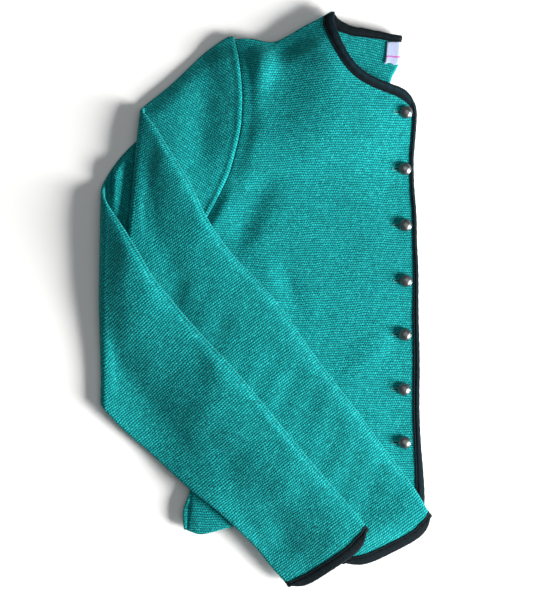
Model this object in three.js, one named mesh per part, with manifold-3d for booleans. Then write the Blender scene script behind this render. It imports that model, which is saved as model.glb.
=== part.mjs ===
// Knitted folk jacket, fastened, folded in half backwards along the centre back and
// laid flat with both sleeves folded across it.  Millimetres, +Z up, floor at z = 0.
// +X is the front-edge side, +Y the neck end.
import * as THREE from 'three';
import Module from 'manifold-3d';

const wasm = await Module();
wasm.setup();

// ---- sizes -------------------------------------------------------------------------
const CLOTH = 1.5;           // wall of the knit
const HALF = CLOTH / 2;
const LAYER = 1.45;          // half the distance between the two walls of a flat pair
const LEG_LAYER = 1.9;       // the same in the fuller forearms
const SEAM = 0.3;            // space between pieces at a seam
const Z_FRONT_LEFT = 0.75;   // middle of each body wall over the floor
const Z_BACK_LOW = 3.65;
const Z_BACK_HIGH = 6.85;
const Z_FRONT_RIGHT = 9.75;
const Z_UNDERLAP = 6.9;      // turned-up edge of the left front
const NECK_LIFT = { frontLeft: 1.1, backLow: 1.85, backHigh: 2.35, frontRight: 3.3 };
const BIND_HALF = 1.65;      // half thickness of a folded binding
const BIND_SLOT = 1.05;      // half the slot the cloth sits in
const BIND_LIP = 7.6;        // how far the lips reach over the cloth
const BIND_OUT = 1.9;        // how far the binding stands out past the cloth edge
const FOLD_A = 3.2;          // radius of the right sleeve's fold
const STACK_GAP = 1.3;       // air between stacked sleeves
const SAG = 0.03;            // how sharply unsupported cloth bends down, 1/mm
const BUTTON_D = 13.5, BUTTON_H = 5.0, SHANK_R = 0.8;
const SLOT_L = 14.5, SLOT_W = 2.4;
const OFFSET = [0.72, -2.37, 0];    // puts the bottom centre of the whole at the origin

// ---- outlines of the upper half, plan, columns x, y ---------------------------------
const SIDE_A = [[-85.8, -242.1], [-86.8, -231.6], [-86.0, -218.2], [-81.1, -205.1], [-75.8, -178.9],
  [-70.6, -136.7], [-67.4, -84.0], [-67.4, -31.3], [-69.0, 21.4], [-70.5, 76.2]];
const ARM_A = [[-31.1, 276.4], [-26.3, 247.9], [-23.7, 220.1], [-24.0, 196.0], [-26.4, 174.3],
  [-35.7, 138.1], [-45.2, 116.2], [-58.6, 91.0], [-70.5, 76.2]];
const SHOULDER_A = [[-31.1, 276.6], [-12.9, 275.3], [7.2, 271.5], [23.2, 277.3], [40.1, 286.5], [58.0, 295.5], [70.6, 303.5]];
const NECK_A = [[70.6, 303.5], [73.1, 291.9], [78.0, 277.5], [85.2, 261.7], [93.8, 248.5], [104.6, 238.8],
  [117.0, 232.0], [131.1, 226.7], [142.6, 222.4], [150.1, 217.4], [155.9, 209.0], [158.8, 200.0], [159.4, 190.4]];
const EDGE_A = [[159.4, 190.4], [158.0, 171.4], [156.4, 146.3], [157.3, 118.0], [159.5, 91.1], [160.3, 57.5],
  [161.6, 30.6], [161.8, -14.0], [163.0, -63.4], [162.7, -112.8], [164.1, -148.2], [166.6, -179.0], [168.1, -204.9], [167.4, -227.5]];
const HEM_A = [[-85.8, -242.1], [-79.6, -245.2], [-70.9, -245.9], [-62.1, -245.5], [-51.9, -242.9], [-32.9, -237.9],
  [-5.2, -234.4], [37.0, -235.5], [79.1, -235.6], [121.3, -232.0], [150.0, -228.8], [165.6, -227.5]];
const BACK_NECK_A = [[70.6, 303.5], [78.1, 296.3], [87.8, 290.7], [95.1, 288.2], [104.8, 286.8], [115.6, 284.6],
  [126.6, 282.4], [136.2, 279.8], [141.2, 277.8]];
// axis of the centre-back fold, hem to neck
const CB_AXIS = [[128.4, -231.4], [127.4, -105.2], [125.2, 0.3], [124.2, 105.9], [124.2, 169.2],
  [125.8, 211.4], [131.0, 234.0], [136.2, 244.2], [139.5, 254.0], [141.2, 277.8]];
// the same for the lower half, which lies slightly inside
const SIDE_B = [[-81.5, -236.0], [-82.3, -226.0], [-81.5, -213.0], [-77.0, -200.0], [-71.5, -178.0],
  [-66.5, -136.0], [-63.2, -84.0], [-63.0, -31.0], [-65.0, 10.0], [-67.4, 52.0]];
const ARM_B = [[-39.2, 265.0], [-34.0, 236.0], [-31.0, 208.0], [-30.6, 184.0], [-32.0, 160.0],
  [-39.5, 121.0], [-47.0, 97.0], [-57.5, 70.0], [-67.4, 52.0]];
const SHOULDER_B = [[-39.2, 265.0], [-20.0, 264.0], [3.0, 261.5], [21.0, 266.0], [38.0, 274.5], [54.0, 282.5], [67.0, 290.5]];
const NECK_B = [[67.0, 290.5], [69.6, 279.0], [75.0, 263.0], [82.5, 247.0], [92.0, 236.0], [104.0, 227.0],
  [118.0, 220.0], [133.0, 213.5], [149.2, 205.0]];
const HEM_B = [[-81.5, -236.0], [-74.0, -238.6], [-66.0, -239.0], [-50.0, -236.5], [-30.0, -232.0],
  [0.0, -229.5], [40.0, -229.5], [80.0, -229.0], [120.0, -226.8], [156.6, -224.0]];
const BACK_NECK_B = [[67.0, 290.5], [76.0, 283.0], [87.0, 278.5], [100.0, 276.5], [114.0, 275.5], [127.0, 275.6], [135.0, 276.6], [141.2, 277.8]];
const FRONT_FOLD = [[156.6, -224.0], [149.2, 205.0]];          // fold axis of the left front
const UNDERLAP_TOP = [[149.2, 205.0], [145.0, 203.0], [140.5, 198.5], [137.8, 191.0], [137.0, 180.0]];
const UNDERLAP_EDGE = [[136.4, -223.5], [136.4, -100.0], [136.8, 50.0], [137.0, 180.0]];

// button centres, columns x, y
const BUTTONS = [[147.5, 196.6], [146.8, 138.0], [147.5, 78.9], [148.0, 20.5], [147.1, -36.0], [146.0, -93.4], [146.4, -149.3]];
// visible width of the right front's binding down the front edge, columns y, width
const EDGE_WIDTH = [[-227, 10.5], [-205, 10.0], [-179, 8.8], [-148, 7.4], [-63, 7.2], [-14, 6.5], [57, 5.0], [118, 4.7], [190, 5.0]];

// ---- sleeves, in the plane of the cloth before folding, columns s (along), v (across) --
const SLEEVE_A = {
  o: [-51.9, 177.2], d: [-0.745, -0.667],
  over: [[-82.2, -61.3], [-77.2, -66.3], [-64.3, -68.8], [-51.8, -70.4], [-41.3, -70.9], [-26.1, -70.4], [-7.0, -69.6],
    [8.1, -69.6], [29.2, -70.9], [50.0, -72.2], [73.5, -72.0], [91.1, -70.4], [110.6, -69.0], [132.1, -67.2],
    [152.6, -63.7], [175.0, -59.0], [198.2, -56.9], [218.2, -56.7], [237.1, -57.9], [262.4, -61.7], [296.3, -63.9],
    [343.1, -62.5], [392.6, -62.0], [433.6, -62.8], [484.5, -62.0], [531.0, -62.2], [567.5, -58.6]],
  under: [[80.9, 61.8], [110.0, 62.5], [150.0, 63.0], [200.0, 64.5], [260.0, 65.0], [300.0, 64.0], [343.0, 61.0],
    [400.0, 56.5], [450.0, 50.5], [500.0, 46.5], [553.5, 46.0]],
  cuffBow: 12.5, cuffPower: 4,
};
const SLEEVE_B = {
  o: [-48.8, 153.0], d: [-0.66, -0.75],
  over: [[-88.7, -50.5], [-80.0, -54.0], [-54.1, -60.3], [-25.0, -66.0], [-7.4, -69.0], [20.0, -73.0], [44.2, -75.6],
    [59.4, -77.0], [73.2, -77.0], [86.6, -75.8], [100.3, -73.4], [116.0, -70.8], [131.0, -68.9], [148.9, -67.3], [165.4, -65.9],
    [193.3, -62.2], [211.1, -59.2], [226.2, -57.7], [248.9, -57.6], [270.5, -56.7], [303.1, -56.0], [349.1, -55.8],
    [379.8, -55.8], [427.5, -55.8], [484.0, -56.5], [535.0, -58.4], [558.0, -57.0]],
  under: [[88.0, 52.1], [120.0, 57.5], [160.0, 66.0], [210.0, 74.5], [250.0, 78.5], [291.7, 78.9], [320.0, 76.8], [351.8, 71.2],
    [381.0, 66.7], [410.1, 61.8], [426.1, 57.8], [444.2, 53.9], [469.8, 50.0], [500.5, 47.2], [524.3, 47.4], [554.5, 46.4]],
  cuffBow: 9.5, cuffPower: 5,
};

// ---- small vector helpers -------------------------------------------------------------
const add = (a, b) => a.map((v, i) => v + b[i]);
const sub = (a, b) => a.map((v, i) => v - b[i]);
const mul = (a, k) => a.map((v) => v * k);
const dot = (a, b) => a.reduce((s, v, i) => s + v * b[i], 0);
const len = (a) => Math.sqrt(dot(a, a));
const unit = (a) => mul(a, 1 / (len(a) || 1));
const mix = (a, b, t) => a.map((v, i) => v + (b[i] - v) * t);
const cross = (a, b) => [a[1] * b[2] - a[2] * b[1], a[2] * b[0] - a[0] * b[2], a[0] * b[1] - a[1] * b[0]];
const clamp = (v, a, b) => Math.min(b, Math.max(a, v));
const ramp = (a, b, v) => { const t = clamp((v - a) / (b - a), 0, 1); return t * t * (3 - 2 * t); };

// smooth curve through a table, evenly spaced: returns n + 1 points
function spaced(table, n) {
  const c = new THREE.SplineCurve(table.map((p) => new THREE.Vector2(p[0], p[1])));
  c.arcLengthDivisions = 400;
  return c.getSpacedPoints(n).map((p) => [p.x, p.y]);
}
// smooth curve through a table as a function of 0..1 of its length
function along(table) {
  const c = new THREE.SplineCurve(table.map((p) => new THREE.Vector2(p[0], p[1])));
  c.arcLengthDivisions = 400;
  return (t) => { const p = c.getPointAt(clamp(t, 0, 1)); return [p.x, p.y]; };
}
// move a plan polyline sideways by k (to its left going forward)
function sideways(pts, k) {
  return pts.map((p, i) => {
    const a = pts[Math.max(0, i - 1)], b = pts[Math.min(pts.length - 1, i + 1)];
    const t = unit(sub(b, a)), kk = typeof k === 'function' ? k(i / (pts.length - 1)) : k;
    return [p[0] - t[1] * kk, p[1] + t[0] * kk];
  });
}
function distanceTo(pts, p) {
  let best = 1e9;
  for (let i = 0; i + 1 < pts.length; i++) {
    const e = sub(pts[i + 1], pts[i]), t = clamp(dot(sub(p, pts[i]), e) / (dot(e, e) || 1), 0, 1);
    best = Math.min(best, len(sub(p, add(pts[i], mul(e, t)))));
  }
  return best;
}
function inside(poly, p) {
  let c = false;
  for (let i = 0, j = poly.length - 1; i < poly.length; j = i++) {
    const [xi, yi] = poly[i], [xj, yj] = poly[j];
    if ((yi > p[1]) !== (yj > p[1]) && p[0] < ((xj - xi) * (p[1] - yi)) / (yj - yi) + xi) c = !c;
  }
  return c;
}

// ---- sheets: middle-surface meshes thickened into closed walls -------------------------
function sheet() { return { p: [], f: [], n: [] }; }
function put(s, v, n) { s.p.push(v); s.n.push(n); return s.p.length - 1; }
function quad(s, a, b, c, d) { s.f.push([a, b, c], [a, c, d]); }
function grid(s, rows, close = false) {
  for (let i = 0; i + 1 < rows.length; i++) {
    const n = rows[i].length;
    for (let j = 0; j + (close ? 0 : 1) < n; j++) quad(s, rows[i][j], rows[i][(j + 1) % n], rows[i + 1][(j + 1) % n], rows[i + 1][j]);
  }
}
function normals(s) {
  const n = s.p.map(() => [0, 0, 0]);
  for (const f of s.f) {
    const e = [0, 1, 2].map((k) => s.p[f[k]]);
    const c = unit(cross(sub(e[1], e[0]), sub(e[2], e[0])));
    for (let k = 0; k < 3; k++) {
      const a = unit(sub(e[(k + 1) % 3], e[k])), b = unit(sub(e[(k + 2) % 3], e[k]));
      const w = Math.acos(clamp(dot(a, b), -1, 1));
      for (let m = 0; m < 3; m++) n[f[k]][m] += c[m] * w;
    }
  }
  return n.map((v, i) => { const g = s.n[i]; return g ? mul(g, dot(g, v) < 0 ? -1 : 1) : unit(v); });
}
function volume(p, f) {
  let v = 0;
  for (const t of f) v += dot(p[t[0]], cross(p[t[1]], p[t[2]])) / 6;
  return v;
}
function thicken(s, t = CLOTH) {
  const n = normals(s), m = s.p.length, p = [], f = [];
  for (let i = 0; i < m; i++) p.push(add(s.p[i], mul(n[i], t / 2)));
  for (let i = 0; i < m; i++) p.push(sub(s.p[i], mul(n[i], t / 2)));
  const seen = new Set();
  for (const [a, b, c] of s.f) for (const [u, v] of [[a, b], [b, c], [c, a]]) seen.add(u * m + v);
  for (const [a, b, c] of s.f) {
    f.push([a, b, c], [a + m, c + m, b + m]);
    for (const [u, v] of [[a, b], [b, c], [c, a]]) if (!seen.has(v * m + u)) f.push([v, u, u + m], [v, u + m, v + m]);
  }
  if (volume(p, f) < 0) for (const q of f) q.reverse();
  return { p, f };
}

// ---- heights -----------------------------------------------------------------------------
// the neck zone is lifted, because four bindings lie over each other there
const NECK_ZONE = [...NECK_A.slice(0, 7), [128, 222], [141.2, 277.8], ...[...BACK_NECK_A].reverse()];
const neckLine = [...NECK_ZONE, NECK_ZONE[0]];
function neck(x, y) {
  if (y < 130 || x < 10) return 0;
  return inside(NECK_ZONE, [x, y]) ? 1 : 1 - ramp(20, 75, distanceTo(neckLine, [x, y]));
}
const lowNeck = (x, y) => (y < 130 ? 0 : Math.max(neck(x, y), 1 - ramp(30, 80, distanceTo(NECK_B, [x, y]))));

// a height field on a square lattice
const STEP = 5, X0 = -195, Y0 = -315, NX = 79, NY = 128;
const cellX = (i) => X0 + i * STEP, cellY = (j) => Y0 + j * STEP;
function rasterise(solids, floor = 0) {
  const h = new Float64Array(NX * NY).fill(floor);
  for (const { p, f } of solids) for (const t of f) {
    const [a, b, c] = t.map((k) => p[k]);
    const det = (b[0] - a[0]) * (c[1] - a[1]) - (c[0] - a[0]) * (b[1] - a[1]);
    if (Math.abs(det) < 1e-9) continue;
    const i0 = Math.ceil((Math.min(a[0], b[0], c[0]) - X0) / STEP - 0.5), i1 = Math.floor((Math.max(a[0], b[0], c[0]) - X0) / STEP + 0.5);
    const j0 = Math.ceil((Math.min(a[1], b[1], c[1]) - Y0) / STEP - 0.5), j1 = Math.floor((Math.max(a[1], b[1], c[1]) - Y0) / STEP + 0.5);
    for (let i = Math.max(0, i0); i <= Math.min(NX - 1, i1); i++) for (let j = Math.max(0, j0); j <= Math.min(NY - 1, j1); j++) {
      const x = cellX(i) - a[0], y = cellY(j) - a[1];
      const u = (x * (c[1] - a[1]) - y * (c[0] - a[0])) / det, v = (y * (b[0] - a[0]) - x * (b[1] - a[1])) / det;
      const tol = 0.12;
      if (u < -tol || v < -tol || u + v > 1 + tol) continue;
      const z = clamp(a[2] + u * (b[2] - a[2]) + v * (c[2] - a[2]), Math.min(a[2], b[2], c[2]), Math.max(a[2], b[2], c[2]));
      h[j * NX + i] = Math.max(h[j * NX + i], z);
    }
  }
  return h;
}
function widen(h, n) {
  let a = h;
  for (let k = 0; k < n; k++) {
    const b = a.slice();
    for (let j = 0; j < NY; j++) for (let i = 0; i < NX; i++) for (const [di, dj] of [[1, 0], [-1, 0], [0, 1], [0, -1]]) {
      const ii = i + di, jj = j + dj;
      if (ii >= 0 && jj >= 0 && ii < NX && jj < NY) b[j * NX + i] = Math.max(b[j * NX + i], a[jj * NX + ii]);
    }
    a = b;
  }
  return a;
}
// cloth laid over a support: it rests where it touches and bends down elsewhere
function drape(lowest, fixed = () => NaN) {
  const h = lowest.slice(), fix = new Float64Array(NX * NY).fill(NaN);
  for (let j = 0; j < NY; j++) for (let i = 0; i < NX; i++) {
    const v = fixed(cellX(i), cellY(j));
    if (!Number.isNaN(v)) { fix[j * NX + i] = v; h[j * NX + i] = v; }
  }
  const top = h.reduce((a, b) => Math.max(a, b), 0);
  for (let k = 0; k < h.length; k++) if (Number.isNaN(fix[k])) h[k] = top;
  for (let it = 0; it < 900; it++) for (let j = 1; j < NY - 1; j++) for (let i = 1; i < NX - 1; i++) {
    const k = j * NX + i;
    if (!Number.isNaN(fix[k])) continue;
    const v = (h[k - 1] + h[k + 1] + h[k - NX] + h[k + NX]) / 4 - (SAG * STEP * STEP) / 4;
    h[k] = Math.max(lowest[k], h[k] + 1.7 * (v - h[k]));
  }
  let a = h;
  for (let n = 0; n < 2; n++) {
    const b = a.slice();
    for (let j = 1; j < NY - 1; j++) for (let i = 1; i < NX - 1; i++) {
      const k = j * NX + i;
      b[k] = (4 * a[k] + 2 * (a[k - 1] + a[k + 1] + a[k - NX] + a[k + NX]) + a[k - NX - 1] + a[k - NX + 1] + a[k + NX - 1] + a[k + NX + 1]) / 16;
    }
    a = b;
  }
  return (x, y) => {
    const u = clamp((x - X0) / STEP, 0, NX - 1.001), v = clamp((y - Y0) / STEP, 0, NY - 1.001);
    const i = Math.floor(u), j = Math.floor(v), s = u - i, t = v - j, k = j * NX + i;
    return (a[k] * (1 - s) + a[k + 1] * s) * (1 - t) + (a[k + NX] * (1 - s) + a[k + NX + 1] * s) * t;
  };
}

// ---- body panels ---------------------------------------------------------------------------
const N_SIDE = 6, N_ARM = 7, N_SHOULDER = 4, N_NECK = 9, N_BACK_NECK = 5, N_CURL = 3;
const INSET = LAYER + HALF;                     // from the outline to the axis of a turned edge

function coons(left, right, bottom, top) {       // arrays of plan points, corners shared
  const n = left.length - 1, m = bottom.length - 1, rows = [];
  const su = (pts) => { const l = [0]; for (let i = 1; i < pts.length; i++) l.push(l[i - 1] + len(sub(pts[i], pts[i - 1]))); return l.map((v) => v / l[l.length - 1]); };
  const ub = su(bottom), ut = su(top), vl = su(left), vr = su(right);
  for (let i = 0; i <= n; i++) {
    const row = [];
    for (let j = 0; j <= m; j++) {
      const v0 = vl[i], v1 = vr[i], u0 = ub[j], u1 = ut[j];
      const v = (v0 + v1) / 2, u = u0 + (u1 - u0) * v, vv = v0 + (v1 - v0) * u;
      const c = [0, 1].map((k) => (1 - vv) * bottom[j][k] + vv * top[j][k] + (1 - u) * left[i][k] + u * right[i][k]
        - ((1 - u) * (1 - vv) * left[0][k] + u * (1 - vv) * right[0][k] + (1 - u) * vv * left[n][k] + u * vv * right[n][k]));
      row.push(i === 0 ? bottom[j] : i === n ? top[j] : j === 0 ? left[i] : j === m ? right[i] : c);
    }
    rows.push(row);
  }
  return rows;
}

// plan of one half: the axis of its turned edges and the armhole
function half(side, arm, shoulder) {
  const sidePts = sideways(spaced(side, N_SIDE), -INSET);                // hem -> armpit, moved inwards
  const armPts = spaced(arm, N_ARM).reverse();                           // armpit -> shoulder tip
  const shPts = sideways(spaced(shoulder, N_SHOULDER), -INSET);          // tip -> neck point, moved inwards
  armPts[0] = [arm[arm.length - 1][0] + INSET, arm[arm.length - 1][1]];
  sidePts[N_SIDE] = armPts[0];
  armPts[N_ARM] = shPts[0];
  return { side: sidePts, arm: armPts, shoulder: shPts };
}
const halfA = half(SIDE_A, ARM_A, SHOULDER_A);
const halfB = half(SIDE_B, ARM_B, SHOULDER_B);
// direction in which the turned edge bulges, at the side rows; the last row shares its
// direction with the sleeve's under edge
const ARMPIT_OUT = unit([-0.41, -0.91]);
const outA = halfA.side.map((p, i) => (i === N_SIDE ? ARMPIT_OUT : unit([-1, i === 0 ? -0.05 : 0])));
const TIP_OUT = unit([-0.1, 1]);
function shoulderOut(h, i) {
  const a = h.shoulder[Math.max(0, i - 1)], b = h.shoulder[Math.min(N_SHOULDER, i + 1)], t = unit(sub(b, a));
  return i === 0 ? TIP_OUT : [-t[1], t[0]];
}

// zLow/zHigh give the two walls of this half; face +1: front on top, -1: front below
const upperHalf = {
  low: (x, y) => Z_BACK_HIGH + NECK_LIFT.backHigh * neck(x, y),
  high: (x, y) => Z_FRONT_RIGHT + NECK_LIFT.frontRight * neck(x, y),
};
const lowerHalf = {
  low: (x, y) => Z_FRONT_LEFT + NECK_LIFT.frontLeft * lowNeck(x, y),
  high: (x, y) => Z_BACK_LOW + NECK_LIFT.backLow * neck(x, y),
};
let droop = () => 0;                              // fall of the upper half past the lower one
const zFR = (x, y) => upperHalf.high(x, y) + droop(x, y);
const zBA = (x, y) => upperHalf.low(x, y) + droop(x, y);
const zBB = lowerHalf.high, zFL = lowerHalf.low;

// turned edge: points from one wall (angle 0) towards the other; side sg = +1 starts at the top
function curlPoint(p, out, zNear, zFar, angle) {
  const c = (zNear + zFar) / 2, r = (zNear - zFar) / 2;
  return [p[0] + out[0] * Math.abs(r) * Math.sin(angle), p[1] + out[1] * Math.abs(r) * Math.sin(angle), c + r * Math.cos(angle)];
}
const curlNormal = (out, zNear, zFar, angle) => [out[0] * Math.sin(angle), out[1] * Math.sin(angle), Math.sign(zNear - zFar) * Math.cos(angle)];
const SEAM_ANGLE = Math.asin((SEAM / 2 + 0.03) / (LAYER - HALF));         // half the seam, measured on the inner face

// one front panel of a half (fronts take the quarter turn at shoulder and side)
function panel(s, h, plan, zNear, zFar, opts = {}) {
  const rows = plan.map((row) => row.map(([x, y]) => put(s, [x, y, zNear(x, y)])));
  grid(s, rows);
  const turn = Math.PI / 2 - SEAM_ANGLE;
  // side
  const sideRows = [];
  for (let i = 0; i <= N_SIDE; i++) {
    const p = plan[i][0], o = opts.out[i], strip = [rows[i][0]];
    for (let k = 1; k <= N_CURL; k++) strip.push(put(s, curlPoint(p, o, zNear(...p), zFar(...p), (turn * k) / N_CURL), curlNormal(o, zNear(...p), zFar(...p), (turn * k) / N_CURL)));
    sideRows.push(strip);
  }
  grid(s, sideRows.map((r) => [...r].reverse()));
  // shoulder
  const m = N_SHOULDER, last = plan.length - 1, topRows = [rows[last].slice(0, m + 1)];
  for (let k = 1; k <= N_CURL; k++) topRows.push(plan[last].slice(0, m + 1).map((p, j) => put(s, curlPoint(p, shoulderOut(h, j), zNear(...p), zFar(...p), (turn * k) / N_CURL), curlNormal(shoulderOut(h, j), zNear(...p), zFar(...p), (turn * k) / N_CURL))));
  grid(s, topRows);
  return { rows, topRows, sideRows };
}

// folded binding swept along a path of { p, n, e }: n is the surface normal, e points into the cloth
const section = (w) => [[-BIND_OUT, -BIND_HALF], [w, -BIND_HALF], [w, -BIND_SLOT], [-SEAM, -BIND_SLOT], [-SEAM, BIND_SLOT],
  [w, BIND_SLOT], [w, BIND_HALF], [-BIND_OUT, BIND_HALF]];
const U_CAP = [[0, 1, 2], [0, 2, 3], [0, 3, 4], [0, 4, 7], [4, 5, 6], [4, 6, 7]];
function bind(path, closed = false, reach = () => BIND_LIP) {
  const p = [], f = [], k = 8, n = path.length;
  for (const q of path) for (const [a, b] of section(reach(q.p))) p.push(add(q.p, add(mul(q.e, a * (q.m || 1)), mul(q.n, b))));
  for (let i = 0; i < n - (closed ? 0 : 1); i++) for (let j = 0; j < k; j++) {
    const a = i * k + j, b = i * k + ((j + 1) % k), c = ((i + 1) % n) * k + ((j + 1) % k), d = ((i + 1) % n) * k + j;
    f.push([a, b, c], [a, c, d]);
  }
  if (!closed) for (const t of U_CAP) { f.push([t[2], t[1], t[0]]); f.push(t.map((v) => v + (n - 1) * k)); }
  if (volume(p, f) < 0) for (const q of f) q.reverse();
  return { p, f };
}
// frames for a binding from a sheet's edge: ids in order along the edge
// (inner, where given, is the next point into the cloth: the lips then run along that line)
function edgeFrames(s, ids, inner = [], closed = false) {
  const nn = normals(s), m = ids.length;
  return ids.map((id, i) => {
    const a = closed ? s.p[ids[(i + m - 1) % m]] : s.p[ids[Math.max(0, i - 1)]];
    const b = closed ? s.p[ids[(i + 1) % m]] : s.p[ids[Math.min(m - 1, i + 1)]], p = s.p[id];
    const t1 = unit(sub(p, a)), t2 = unit(sub(b, p));
    const t = unit(add(len(sub(p, a)) ? t1 : t2, len(sub(b, p)) ? t2 : t1));
    const n = nn[id];
    const e = inner[i] !== undefined ? unit(sub(s.p[inner[i]], p)) : unit(cross(n, t));
    const cosHalf = clamp(len(sub(p, a)) && len(sub(b, p)) ? dot(t, t2) : 1, 0.75, 1);
    return inner[i] !== undefined ? { p, n, e, m: 1, fixed: true } : { p, n, e, m: 1 / cosHalf };
  });
}

// ---- sleeves ----------------------------------------------------------------------------------
function edgeFn(frame, table) {
  const d = unit(frame.d), v = [-d[1], d[0]];
  const c = new THREE.SplineCurve(table.map((p) => new THREE.Vector2(p[0], p[1])));
  const pts = c.getSpacedPoints(600);
  return (s) => {                                  // plan point before folding at station s
    let i = 1;
    while (i < pts.length - 1 && pts[i].x < s) i++;
    const a = pts[i - 1], b = pts[i], t = clamp((s - a.x) / (b.x - a.x), -5, 1);
    const across = a.y + (b.y - a.y) * t;
    return [frame.o[0] + d[0] * s + v[0] * across, frame.o[1] + d[1] * s + v[1] * across];
  };
}
function bender(fold, z0, z1) {
  const up = (z, x, y, k) => unit([-(z(x + 3, y) - z(x - 3, y)) / 6 * k, -(z(x, y + 3) - z(x, y - 3)) / 6 * k, 1]);
  return (P, zeta) => {
    const r = sub(P, fold.o), q = dot(r, fold.f), d = dot(r, fold.out), a = fold.a(q), L = Math.PI * a;
    if (d <= 0) { const n = up(z0, P[0], P[1], 1); return add([P[0], P[1], z0(...P)], mul(n, zeta)); }
    if (d >= L) {
      const Q = add(add(fold.o, mul(fold.f, q)), mul(fold.out, -(d - L)));
      return add([Q[0], Q[1], z1(...Q)], mul(up(z1, Q[0], Q[1], 1), -zeta));
    }
    const A = add(fold.o, mul(fold.f, q)), th = (Math.PI * d) / L, b = (z1(...A) - z0(...A)) / 2, c = (z1(...A) + z0(...A)) / 2;
    const n = unit([-b * Math.sin(th), a * Math.cos(th)]);
    const R = a * Math.sin(th) + n[0] * zeta;
    return [A[0] + fold.out[0] * R, A[1] + fold.out[1] * R, c - b * Math.cos(th) + n[1] * zeta];
  };
}
const N_TOP = N_ARM, N_LEG0 = 5, N_FOLD = 6, N_LEG1 = 15;

function sleeve(def, fold, armPts, z0, layer0) {
  const over = edgeFn(def, def.over), under = edgeFn(def, def.under);
  const s0 = def.over[0][0], u0 = def.under[0][0], s9 = def.over[def.over.length - 1][0], u9 = def.under[def.under.length - 1][0];
  const dist = (P) => dot(sub(P, fold.o), fold.out), qOf = (P) => dot(sub(P, fold.o), fold.f);
  const solve = (edge, a, b, phi) => {             // station where the edge is phi of the way round the fold
    for (let k = 0; k < 50; k++) {
      const m = (a + b) / 2, P = edge(m);
      if (dist(P) - phi * Math.PI * fold.a(qOf(P)) > 0) b = m; else a = m;
    }
    return (a + b) / 2;
  };
  const outward = (edge, s, sg, lo, hi) => {
    const t = unit(sub(edge(Math.min(hi, s + 2)), edge(Math.max(lo, s - 2))));
    return [-t[1] * sg, t[0] * sg];
  };
  const rings = [];
  const so = [], su = [], kind = [];
  for (let i = 0; i < N_LEG0; i++) { so.push(i / N_LEG0); su.push(i / N_LEG0); kind.push(0); }
  for (let i = 0; i <= N_FOLD; i++) { so.push(i / N_FOLD); su.push(i / N_FOLD); kind.push(1); }
  for (let i = 1; i < N_LEG1; i++) { so.push((i / (N_LEG1 - 1)) * 0.975); su.push(so[so.length - 1]); kind.push(2); }
  so.push(1); su.push(1); kind.push(2);
  const fo = [solve(over, s0, s9 * 0.6, 0), solve(over, s0, s9 * 0.6, 1)], fu = [solve(under, u0, u9 * 0.9, 0), solve(under, u0, u9 * 0.9, 1)];
  const armN = armPts.length - 1;                  // shoulder tip -> armpit
  for (let r = 0; r < so.length; r++) {
    let a, b, k = 0;
    if (kind[r] === 0) { a = s0 + (fo[0] - s0) * so[r]; b = u0 + (fu[0] - u0) * so[r]; k = Math.pow(1 - so[r], 1.3); }
    else if (kind[r] === 1) { a = solve(over, s0, s9 * 0.6, so[r]); b = solve(under, u0, u9 * 0.9, so[r]); }
    else { a = fo[1] + (s9 - fo[1]) * so[r]; b = fu[1] + (u9 - fu[1]) * so[r]; }
    let eo = outward(over, a, -1, s0, s9), eu = outward(under, b, 1, u0, u9);
    if (r === 0) { eo = TIP_OUT; eu = ARMPIT_OUT; }
    if (r === 1) { eo = unit(add(eo, mul(TIP_OUT, 0.35))); eu = unit(add(eu, mul(ARMPIT_OUT, 0.35))); }
    const leg = kind[r] === 2 ? so[r] : 0;
    const lay = kind[r] === 0 ? layer0 : kind[r] === 1 ? layer0 : layer0 + (LEG_LAYER - layer0) * ramp(0, 0.25, leg);
    const Co = sub(over(a), mul(eo, lay + HALF)), Cu = sub(under(b), mul(eu, lay + HALF));
    const bow = kind[r] === 2 ? def.cuffBow * Math.pow(ramp(0.3, 1, leg), 1.5) : 0;
    const dir = unit(def.d);
    const mid = [];
    for (let j = 0; j <= N_TOP; j++) {
      const w = j / N_TOP;
      let P = mix(Co, Cu, w);
      if (r === 0) P = armPts[j];
      else if (k > 0) {
        const c = mix(armPts[0], armPts[armN], w);
        P = add(P, mul(sub(armPts[j], c), k));
      }
      if (bow) P = add(P, mul(dir, bow * (1 - Math.pow(Math.abs(2 * w - 1), def.cuffPower))));
      mid.push(P);
    }
    rings.push({ mid, eo, eu, lay, kind: kind[r] });
  }
  const build = (z1, upTo) => {
    const place = bender(fold, z0, z1 || (() => 0)), s = sheet(), ids = [];
    const use = rings.slice(0, upTo || rings.length);
    for (const R of use) {
      const ring = [], A = [45, 90, 135].map((g) => (g * Math.PI) / 180), n = R.mid.length - 1;
      for (let j = 0; j <= n; j++) ring.push(put(s, place(R.mid[j], R.lay)));
      for (const g of A) ring.push(put(s, place(add(R.mid[n], mul(R.eu, R.lay * Math.sin(g))), R.lay * Math.cos(g))));
      for (let j = n; j >= 0; j--) ring.push(put(s, place(R.mid[j], -R.lay)));
      for (const g of A) ring.push(put(s, place(add(R.mid[0], mul(R.eo, R.lay * Math.sin(g))), -R.lay * Math.cos(g))));
      ids.push(ring);
    }
    if (use.length === rings.length) {             // the last strip, inside the binding, is straight
      const last = ids[ids.length - 1], prev = ids[ids.length - 2];
      const step = mul(last.reduce((v, id, i) => add(v, sub(s.p[id], s.p[prev[i]])), [0, 0, 0]), 1 / last.length);
      last.forEach((id, i) => { s.p[id] = add(s.p[prev[i]], step); });
    }
    grid(s, ids, true);
    return { s, ids };
  };
  return { rings, build };
}

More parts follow.
